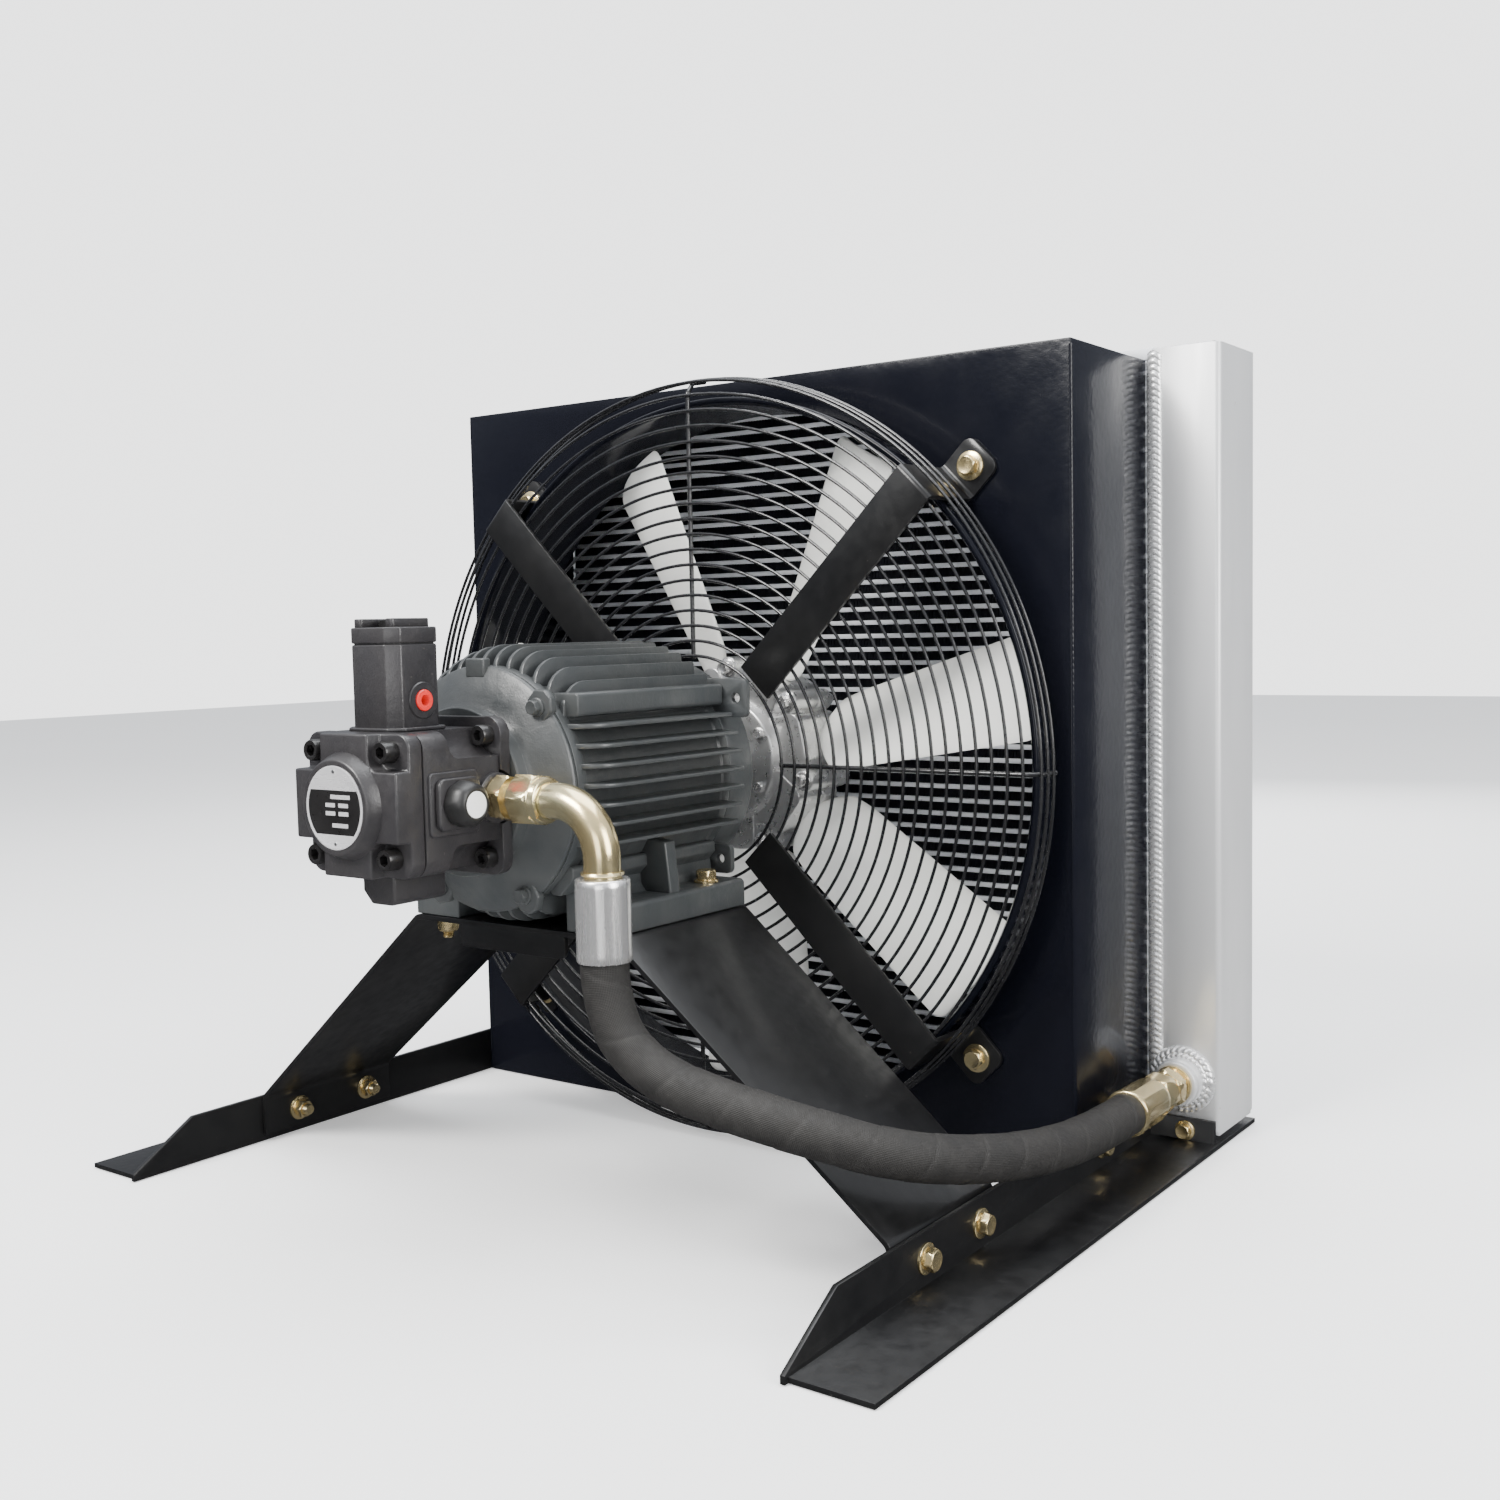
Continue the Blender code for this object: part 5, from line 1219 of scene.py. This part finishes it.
def make_bells():
    front, dome, back = FRONT - 0.3637, FRONT - 0.3518, FRONT - 0.3333
    build = Build().stack((
        (-back, 0.0185), (-back, 0.0968), (-back + 0.0030, 0.0975), (-back + 0.0050, 0.0965), (-back + 0.0068, 0.0930),
        (-back + 0.0110, 0.0840), (-back + 0.0148, 0.0750), (-back + 0.0170, 0.0695), (-dome, 0.0672),
        (-dome + 0.0010, 0.0660), (-front - 0.0010, 0.0660), (-front, 0.0650), (-front, 0.0185),
    ), 96, facing("-Y", (0, 0, AXIS_Z)), ring=True)
    build.piece("front_bell_casting", "motor", bevel=0.0005, cuts=(port_room(),), node="motor_front_bell")
    lugs = Build()
    bolts = Build()
    for degrees in (45, 135, 240, 300):
        lug(lugs, 0.0900, (dome + 0.0100, back - 0.0008), degrees)
        spot = about_shaft(degrees) @ Vector((0.0925, dome + 0.0100, 0))
        hex_bolt(bolts, facing("-Y", spot, math.radians(degrees * 1.7)), 0.0052, 0.0040, 0.0074)
    lugs.box((-0.010, dome + 0.009, 0.088), (0.010, back - 0.0008, 0.1030), Matrix.Translation((0, 0, AXIS_Z)))
    lugs.piece("front_bell_lugs", "motor", bevel=0.0016, steps=3)
    bolts.piece("front_bell_bolts", "motor")
    front, depth = FRONT - 0.1407, 0.0367
    build = Build().stack((
        (0, 0.0185), (0, 0.0960), (0.0008, 0.0965), (depth - 0.0062, 0.0965), (depth - 0.0040, 0.0957),
        (depth - 0.0022, 0.0942), (depth - 0.0008, 0.0915), (depth, 0.0885), (depth, 0.0560), (depth - 0.0030, 0.0540),
        (depth - 0.0030, 0.0400), (depth, 0.0385), (depth, 0.0185),
    ), 96, facing("+Y", (0, front, AXIS_Z)), ring=True)
    build.piece("rear_bell_casting", "motor", bevel=0.0005, node="motor_rear_bell")
    lugs = Build()
    holes = Build()
    at = facing("-Y", (0, 0, AXIS_Z))
    for side in (-1, 1):
        for inner, outer, bottom, top in ((0.060, 0.114, 0.047, 0.080), (0.055, 0.094, -0.087, -0.062)):
            outline = rounded_rectangle((outer - inner) / 2, (top - bottom) / 2, 0.005,
                                        (side * (inner + outer) / 2, (bottom + top) / 2), 4)
            lugs.prism(outline, -front - 0.0062, -front - 0.0005, at)
            hole = (side * (outer - 0.0115), front, AXIS_Z + (bottom + top) / 2)
            holes.stack(((-0.01, 0.0042), (0.02, 0.0042)), 32, facing("+Y", hole))
    lugs.piece("rear_bell_lugs", "motor", bevel=0.0008, steps=2, cuts=(holes,))
    bolts = Build()
    for degrees in (30, 90, 150, 210, 270, 330):
        spot = about_shaft(degrees) @ Vector((0.0470, front + depth - 0.0030, 0))
        hex_bolt(bolts, facing("+Y", spot), 0.0036, 0.0030, 0.0054)
    bolts.piece("rear_bell_bolts", "bright")


def make_foot_bolts():
    under = SADDLE_TOP - SADDLE_SHEET
    number = 0
    for side in (-1, 1):
        for y in FOOT_BOLT_YS:
            number += 1
            build = Build()
            x = side * FOOT_BOLT_X
            hex_bolt(build, facing("+Z", (x, y, FOOT_TOP + GAP), number), 0.0078, 0.0064, 0.0104)
            hex_bolt(build, facing("-Z", (x, y, under - GAP), number + 0.4), 0.0078, 0.0078, 0.0104)
            thread(build, Matrix.Translation((x, y, 0)), 0.0048, under - 0.0178, under - 0.004)
            build.piece(f"foot_bolt_{number}_set", "zinc", node=f"motor_foot_bolt_{number}")


def make_terminal_box():
    refined("terminal_box", "motor", 0.0012)
    refined("terminal_box_lid", "motor", 0.0018, steps=3)
    low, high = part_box("terminal_box_lid")
    screws = Build()
    for y in (low.y + 0.009, high.y - 0.009):
        for z in (low.z + 0.009, high.z - 0.009):
            head = ((0, 0.0036), (0.0002, 0.0036), (0.0003, 0.0030), (0.0003, 0.0014), (-0.0006, 0.0010))
            screws.stack(head, 24, facing("-X", (low.x + 0.0004, y, z)))
    screws.piece("terminal_lid_screws", "steel")
    low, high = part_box("cable_gland")
    centre = ((low.x + high.x) / 2, (low.y + high.y) / 2)
    nut = hexagon(0.0108)
    build = Build().stack((
        (0, 0.0066), (0, 0.0088), (0.0020, 0.0100), (0.0080, lambda a: min(nut(a), 0.0108)), (0.0082, nut),
        (0.0140, nut), (0.0142, 0.0100), (0.0150, 0.0100), (0.0151, nut), (0.0212, nut), (0.0214, 0.0088),
        (0.0275, 0.0088), (0.0275, 0.0066),
    ), 60, facing("+Z", (*centre, low.z)), ring=True)
    build.piece("cable_gland_body", "plastic", node="cable_gland")


def make_inner_parts():
    for node, finish in (
        ("motor_stator", "lamination"), ("motor_rotor", "lamination"), ("bearing_front", "steel"),
        ("bearing_rear", "steel"), ("pump_rotor", "steel"), ("pump_cam_ring", "steel"),
    ):
        dress(node, finish)


# ---------------------------------------------------------------- pump

def pump_facing(y=0.0):
    return facing("-Y", (0, y, AXIS_Z))


def make_pump_flange():
    front, back = FRONT - 0.3740, FRONT - 0.3640
    ear, ear_x, ear_z = 0.0139, 0.0435, 0.0462
    outline = []
    for corner, (sx, sz) in enumerate(((1, 1), (-1, 1), (-1, -1), (1, -1))):
        outline += arc((sx * ear_x, sz * ear_z), ear, 90 * corner - 14, 90 * corner + 104, 12)
    build = Build().prism(outline, -back, -front, pump_facing())
    build.piece("pump_flange_plate", "pump", bevel=0.0012, steps=3, cuts=(port_room(),), node="pump_flange")
    screws = Build()
    for sx in (-1, 1):
        for sz in (-1, 1):
            spot = (sx * ear_x, front + 0.0002, AXIS_Z + sz * ear_z)
            socket_screw(screws, facing("-Y", spot, 0.3 * sx), 0.0080, 0.0103)
    screws.piece("pump_flange_screws", "black_steel")


def make_pump_body():
    front, back = FRONT - 0.4487, FRONT - 0.3743
    build = Build().prism(rounded_rectangle(0.055, 0.052, 0.013, steps=8), -back, -front, pump_facing())
    scoops = [
        Build().stack(
            ((0.358, 0.0205), (0.4150, 0.0205), (0.4195, 0.0190), (0.4230, 0.0150), (0.4245, 0.0090)), 48,
            facing("-Y", (a * 0.0530, FRONT, AXIS_Z + b * 0.0520)),
        )
        for a in (-1, 1) for b in (-1, 1)
    ]
    build.piece("pump_body_casting", "pump", bevel=0.0014, steps=3, cuts=scoops, node="pump_body")
    sump = [
        (-0.017, -0.046), (-0.017, -0.066), (-0.008, -0.0755), (0.0135, -0.0755), (0.017, -0.072), (0.017, -0.046),
    ]
    extra = Build().prism(sump, 0.3953 - FRONT, 0.4470 - FRONT, pump_facing())
    extra.piece("pump_sump", "pump", bevel=0.0020, steps=3)
    outline = rounded_rectangle(0.0243, 0.0233, 0.004, (SUCTION_Y, AXIS_Z - 0.0002), 4)
    pad = Build().prism(outline, 0.052, 0.0574, facing("+X"))
    pad.piece("pump_side_pad", "pump", bevel=0.0012, steps=3)
    outlet = facing("+X", (0, OUTLET_Y, AXIS_Z))
    suction = facing("-X", (0, SUCTION_Y, AXIS_Z))
    necks = Build()
    necks.stack(((0.030, 0.0188), (0.0585, 0.0188), (0.0590, 0.0182), (0.0590, 0.0120)), 64, outlet)
    necks.stack(
        ((0.046, 0.0130), (0.046, 0.0238), (0.0662, 0.0238), (0.0668, 0.0232), (0.0668, 0.0130)), 64, suction,
        ring=True,
    )
    necks.stack(((0.0400, 0.0131), (0.0480, 0.0131)), 32, suction)
    necks.piece("pump_port_necks", "pump")


def make_pump_cover():
    front, back = FRONT - 0.4750, FRONT - 0.4490
    floor = FRONT - 0.462
    face = FRONT - 0.4846
    middle = 0.0005
    outline = rounded_rectangle(0.0545, 0.052, 0.011, (0, middle), 8)
    build = Build().prism(outline, -back, -front, pump_facing())
    cutters = []
    for a in (-1, 1):
        for b in (-1, 1):
            corner = rounded_rectangle(0.0190, 0.0190, 0.0088, (a * 0.0445, middle + b * 0.0445), 6)
            cutters.append(Build().prism(corner, -floor, -front + 0.01, pump_facing()))
    build.piece("pump_cover_casting", "pump", bevel=0.0017, steps=3, cuts=cutters, node="pump_cover")
    boss = Build().stack((
        (-front - 0.0060, 0.0400), (-front - 0.0004, 0.0396), (-front + 0.0015, 0.0386), (-front + 0.0040, 0.0374),
        (-face - 0.0012, 0.0352), (-face - 0.0002, 0.0343), (-face, 0.0332), (-face, 0.0311), (-face - 0.0006, 0.0307),
        (-face - 0.0007, 0.010),
    ), 96, pump_facing())
    boss.piece("pump_cover_boss", "pump", smooth=50)
    plate = Build().stack((
        (-face - 0.0006, 0.0303), (-face + 0.0001, 0.0303), (-face + 0.0003, 0.0299), (-face + 0.0003, 0.0289),
        (-face + 0.00005, 0.0285), (-face + 0.00005, 0.010),
    ), 96, pump_facing())
    plate.piece("pump_blank_plate", "plate", node="pump_label_plate")
    field = arc((0, 0), 0.0278, -44, 27, 12) + arc((0, 0), 0.0278, 153, 224, 12)
    print_field = Build().prism(field, -face + 0.00002, -face + 0.00015, pump_facing())
    print_field.piece("pump_plate_field", "black_steel", slot="blank_plate")
    blanks = Build()
    for x, z, half in ((0.0070, 0.0080, 0.0105), (-0.0040, 0.0020, 0.0052), (0.0100, 0.0020, 0.0052),
                       (-0.0040, -0.0040, 0.0052), (0.0100, -0.0040, 0.0052), (0.0060, -0.0125, 0.0085)):
        blank = rounded_rectangle(half, 0.0015, 0.0004, (x, z), 2)
        blanks.prism(blank, -face + 0.0001, -face + 0.00022, pump_facing())
    blanks.piece("pump_plate_blanks", "plate")
    rivets = Build()
    for degrees in (90, 270):
        spot = about_shaft(degrees) @ Vector((0.0260, face + 0.0001, 0))
        head = ((0, 0.0016), (0.00015, 0.0015), (0.0003, 0.0010), (0.00035, 0.0004))
        rivets.stack(head, 20, facing("-Y", spot))
    rivets.piece("pump_plate_rivets", "steel")
    screws = Build()
    for sx in (-1, 1):
        for sz in (-1, 1):
            spot = (sx * 0.0376, floor, AXIS_Z + 0.0012 + sz * 0.0383)
            socket_screw(screws, facing("-Y", spot, 0.4 + sx * 0.7 + sz), 0.0080, 0.0118)
    screws.piece("pump_cover_screws", "black_steel")


def chamfered(half_x, half_y, cut, centre):
    x, y = centre
    return [
        (x + half_x, y - half_y + cut), (x + half_x, y + half_y - 0.004), (x + half_x - 0.004, y + half_y),
        (x - half_x + 0.004, y + half_y), (x - half_x, y + half_y - 0.004), (x - half_x, y - half_y + cut),
        (x - half_x + cut, y - half_y), (x + half_x - cut, y - half_y),
    ]


def seam_bore(seam, y):
    return Build().stack(((seam - 0.01, 0.0063), (seam + 0.01, 0.0063)), 40, Matrix.Translation((0, y, 0)))


def make_governor():
    y = FRONT - 0.425
    drain = (0, y + 0.0045, AXIS_Z + 0.0742)
    low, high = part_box("compensator_housing")
    build = Build().prism(chamfered(0.0258, 0.0233, 0.0085, (0, y)), low.z, high.z - 0.0002)
    bore = Build().stack(((0.010, 0.0082), (0.040, 0.0082)), 40, facing("+X", drain))
    build.piece("compensator_casting", "pump", bevel=0.0013, steps=3, cuts=(bore,), node="compensator_housing")
    skirt = Build().prism(chamfered(0.030, 0.0262, 0.0095, (0, y)), low.z - 0.0002, low.z + 0.0028)
    skirt.piece("compensator_foot", "pump", bevel=0.0012, steps=3)
    boss = Build().stack((
        (0.0240, 0.0083), (0.0240, 0.0137), (0.0264, 0.0137), (0.0272, 0.0129), (0.0272, 0.0083),
    ), 64, facing("+X", drain), ring=True)
    boss.piece("compensator_drain_boss", "pump")
    plug = Build().stack((
        (0.0170, 0.0079), (0.0280, 0.0079), (0.0287, 0.0072), (0.0287, 0.0040), (0.0270, 0.0033), (0.0170, 0.0033),
    ), 48, facing("+X", drain), ring=True)
    plug.stack(((0.0172, 0.0035), (0.0195, 0.0035)), 32, facing("+X", drain))
    plug.piece("drain_plug_cap", "red", node="drain_plug")
    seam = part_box("compensator_cap")[0].z
    top = AXIS_Z + 0.128
    cap = Build().prism(chamfered(0.0260, 0.0235, 0.0085, (0, y)), seam + 0.0004, top)
    bore = Build().stack(((seam - 0.01, 0.0063), (top + 0.01, 0.0063)), 40, Matrix.Translation((0, y, 0)))
    cap.piece("compensator_cap_casting", "pump", bevel=0.0012, steps=3, cuts=(bore,), node="compensator_cap")
    gasket = Build().prism(chamfered(0.0246, 0.0221, 0.0085, (0, y)), seam - 0.0020, seam + 0.0020)
    gasket.piece("compensator_gasket", "plastic", slot="pump_grey", cuts=(seam_bore(seam, y),))
    blocks = Build()
    for side in (-1, 1):
        outline = rounded_rectangle(0.0040, 0.0183, 0.0025, (side * 0.0170, y), 4)
        blocks.prism(outline, top - 0.001, AXIS_Z + 0.1344)
    blocks.piece("compensator_cap_blocks", "pump", bevel=0.0009, steps=2)
    low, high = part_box("pressure_screw")

    def knurl(angle):
        return 0.0092 * (1 - 0.03 * (0.5 + 0.5 * math.cos(30 * angle)))

    at = Matrix.Translation((0, y, 0))
    screw = Build()
    thread(screw, at, 0.0059, low.z, top - 0.001, 0.0012)
    screw.stack(((top - 0.0015, 0.0056), (top + 0.0004, 0.0056), (top + 0.0004, knurl), (high.z - 0.0008, knurl),
                 (high.z - 0.0001, 0.0082), (high.z - 0.0001, 0.0070), (high.z - 0.0012, 0.0062),
                 (high.z - 0.0012, 0.0010)), 90, at)
    screw.piece("pressure_screw_knurled", "black_steel", "pressure_setting", node="pressure_screw")


def make_adjuster():
    low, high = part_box("adjuster_boss")
    centre = (SUCTION_Y, AXIS_Z - 0.0002)
    outline = rounded_rectangle(0.0203, 0.0188, 0.0065, centre, 6)
    boss = Build().prism(outline, low.x + 0.0002, high.x, facing("+X"))
    boss.piece("adjuster_square_boss", "pump", bevel=0.0014, steps=3, node="adjuster_boss")
    start = high.x + 0.0003
    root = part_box("adjuster_knob")[0].x

    def facet(radius):
        return lambda angle: radius * (1 - 0.030 * (0.5 - 0.5 * math.cos(8 * angle)))

    knob = Build().stack((
        (root, 0.0048), (start, 0.0048), (start, facet(0.0166)), (start + 0.0010, facet(0.0171)),
        (start + 0.0080, facet(0.0168)), (start + 0.0115, facet(0.0160)), (start + 0.0140, facet(0.0148)),
        (start + 0.0154, 0.0130), (start + 0.0162, 0.0114), (start + 0.0162, 0.0105), (start + 0.0158, 0.0101),
        (start + 0.0158, 0.0020),
    ), 96, facing("+X", (0, *centre)))
    knob.piece("adjuster_knob_moulding", "plastic", "adjuster", smooth=50, node="adjuster_knob")
    sticker = Build().stack((
        (start + 0.01575, 0.0097), (start + 0.0160, 0.0097), (start + 0.0161, 0.0095), (start + 0.0161, 0.0010),
    ), 64, facing("+X", (0, *centre)))
    sticker.piece("adjuster_blank_sticker", "sticker", "adjuster")


# ---------------------------------------------------------------- fan

BLADES = 7
FIRST_ANGLE = 116.0


def blade_profile(radius, chord, pitch, thickness, camber, points=28):
    turn = math.radians(pitch)
    along = Vector((0, -math.sin(turn), -math.cos(turn)))
    out = Vector((0, -math.cos(turn), math.sin(turn)))
    section = []
    for i in range(points):
        angle = TAU * i / points
        a = -0.5 * math.cos(angle)
        b = math.copysign(abs(math.sin(angle)) ** 0.72, math.sin(angle)) * 0.5
        rise = b * thickness + camber * (1 - 4 * a * a)
        section.append(Vector((radius, 0, 0)) + along * (a * chord) + out * rise)
    return section


def ease(t):
    return t * t * (3 - 2 * t)


def make_blades():
    """Broad twisted blades with rounded shoulders and tips, on round stems."""
    stem, stem_end, shoulder, broad, tip, corner = 0.0150, 0.0834, 0.108, 0.125, 0.3115, 0.012
    for number in range(1, BLADES + 1):
        sections = [blade_profile(0.052, stem, 36, stem, 0), blade_profile(stem_end, stem, 36, stem, 0)]
        for i in range(1, 15):
            t = i / 14
            u = t * t
            spread = (1 - (1 - u) ** 2) ** 0.8
            chord = stem + (0.082 - stem) * spread
            thickness = 0.0125 + (0.0070 - 0.0125) * ease(t)
            sections.append(blade_profile(stem_end + (shoulder - stem_end) * u, chord, 36, thickness, 0.002 * t))
        for i in range(1, 5):
            t = i / 4
            radius = shoulder + (broad - shoulder) * t
            thickness = 0.0070 - 0.0006 * t
            sections.append(blade_profile(radius, 0.082 + 0.006 * t, 36 - 0.5 * t, thickness, 0.002 + 0.001 * t))
        for i in range(1, 17):
            t = i / 16
            radius = broad + (tip - corner - broad) * t
            chord = 0.088 + 0.0175 * t
            thickness = 0.0064 - 0.0026 * t
            sections.append(blade_profile(radius, chord, 35.5 - 10 * t, thickness, 0.003 + 0.0045 * t))
        for degrees in (25, 45, 62, 76, 88):
            angle = math.radians(degrees)
            chord = 0.1055 - 0.022 * (1 - math.cos(angle))
            thickness = 0.0038 * (0.35 + 0.65 * math.cos(angle))
            sections.append(blade_profile(tip - corner + corner * math.sin(angle), chord, 25.5, thickness, 0.0075))
        degrees = FIRST_ANGLE - (number - 1) * 360 / BLADES
        matrix = Matrix.Translation((0, FAN_Y, 0)) @ about_shaft(degrees)
        blade = Build().loft(sections, matrix)
        blade.piece(f"blade_{number}", "blade", FAN, smooth=60, node=f"fan_blade_{number}")


def hub_sockets(turns):
    sockets = []
    for degrees in turns:
        matrix = Matrix.Translation((0, FAN_Y, 0)) @ about_shaft(degrees) @ facing("+X")
        sockets.append(Build().stack(((0.0500, 0.0082), (0.0950, 0.0082)), 32, matrix))
    return sockets


def make_hub():
    """Two clamping halves: a plate with a raised disc, drums over the blades' stems, and bolted ears."""
    bolts = Build()
    halves = (("fan_hub_front", "-Y", 0.0400, 0.0500), ("fan_hub_rear", "+Y", 0.0240, 0.0300))
    for name, direction, face, disc in halves:
        at = facing(direction, (0, FAN_Y, AXIS_Z))
        plate = face - 0.0015
        build = Build().stack((
            (0.0003, 0.0145), (0.0003, 0.0832), (plate - 0.0025, 0.0832), (plate - 0.0007, 0.0822), (plate, 0.0805),
            (plate, 0.0620), (plate + 0.0010, 0.0600), (disc - 0.0012, 0.0572), (disc - 0.0003, 0.0560),
            (disc, 0.0540), (disc, 0.0145),
        ), 112, at, ring=True)
        turns = [FIRST_ANGLE - number * 360 / BLADES for number in range(BLADES)]
        drums = Build()
        for number, degrees in enumerate(turns):
            local = about_shaft(degrees) @ facing(direction, (0, FAN_Y, 0))
            long_way, short_way = (0.0200, 0.0262) if direction == "-Y" else (0.0262, 0.0200)
            middle = (0.0662, 0) if direction == "-Y" else (0, 0.0662)
            drums.prism(rounded_rectangle(long_way, short_way, 0.0105, middle, 6), 0.0003, face, local)
            spot = about_shaft(degrees + 180 / BLADES) @ Vector((0.0855, FAN_Y, 0))
            drums.stack(((0.0003, 0.0102), (plate, 0.0102)), 40, facing(direction, spot))
            out = plate if direction == "-Y" else -plate
            hex_bolt(bolts, facing(direction, spot - Vector((0, out, 0)), number), 0.0052, 0.0064, 0.0086)
        build.piece(f"{name}_casting", "hub", FAN, bevel=0.0006, cuts=hub_sockets(turns), node=name)
        drums.piece(f"{name}_drums", "hub", FAN, bevel=0.0024, steps=4, cuts=hub_sockets(turns))
    for number in range(6):
        spot = about_shaft(30 + 60 * number) @ Vector((0.050, FAN_Y - 0.0500, 0))
        hex_bolt(bolts, facing("-Y", spot, number), 0.0046, 0.0060)
    bolts.piece("fan_hub_bolts", "bright", FAN)


def make_shaft():
    low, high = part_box("motor_shaft")
    build = Build().stack((
        (0, 0.0128), (0.0012, 0.0140), (high.y - low.y - 0.0012, 0.0140), (high.y - low.y, 0.0128),
    ), 64, facing("+Y", (0, low.y, AXIS_Z)))
    build.piece("shaft_ground", "steel", FAN, node="motor_shaft")


make_camera()
make_hose()
make_light()
make_floor()
make_pump_side_fittings()
make_tank_side_fittings()
make_cowl()
make_collar()
make_guard()
make_arms()
make_core()
make_tank("tank_right", 1, 0.058)
make_tank("tank_left", -1, 0.655)
make_outlet_plug()
make_rails()
make_saddle()
make_motor_frame()
make_bells()
make_foot_bolts()
make_terminal_box()
make_inner_parts()
make_pump_flange()
make_pump_body()
make_pump_cover()
make_governor()
make_adjuster()
make_blades()
make_hub()
make_shaft()
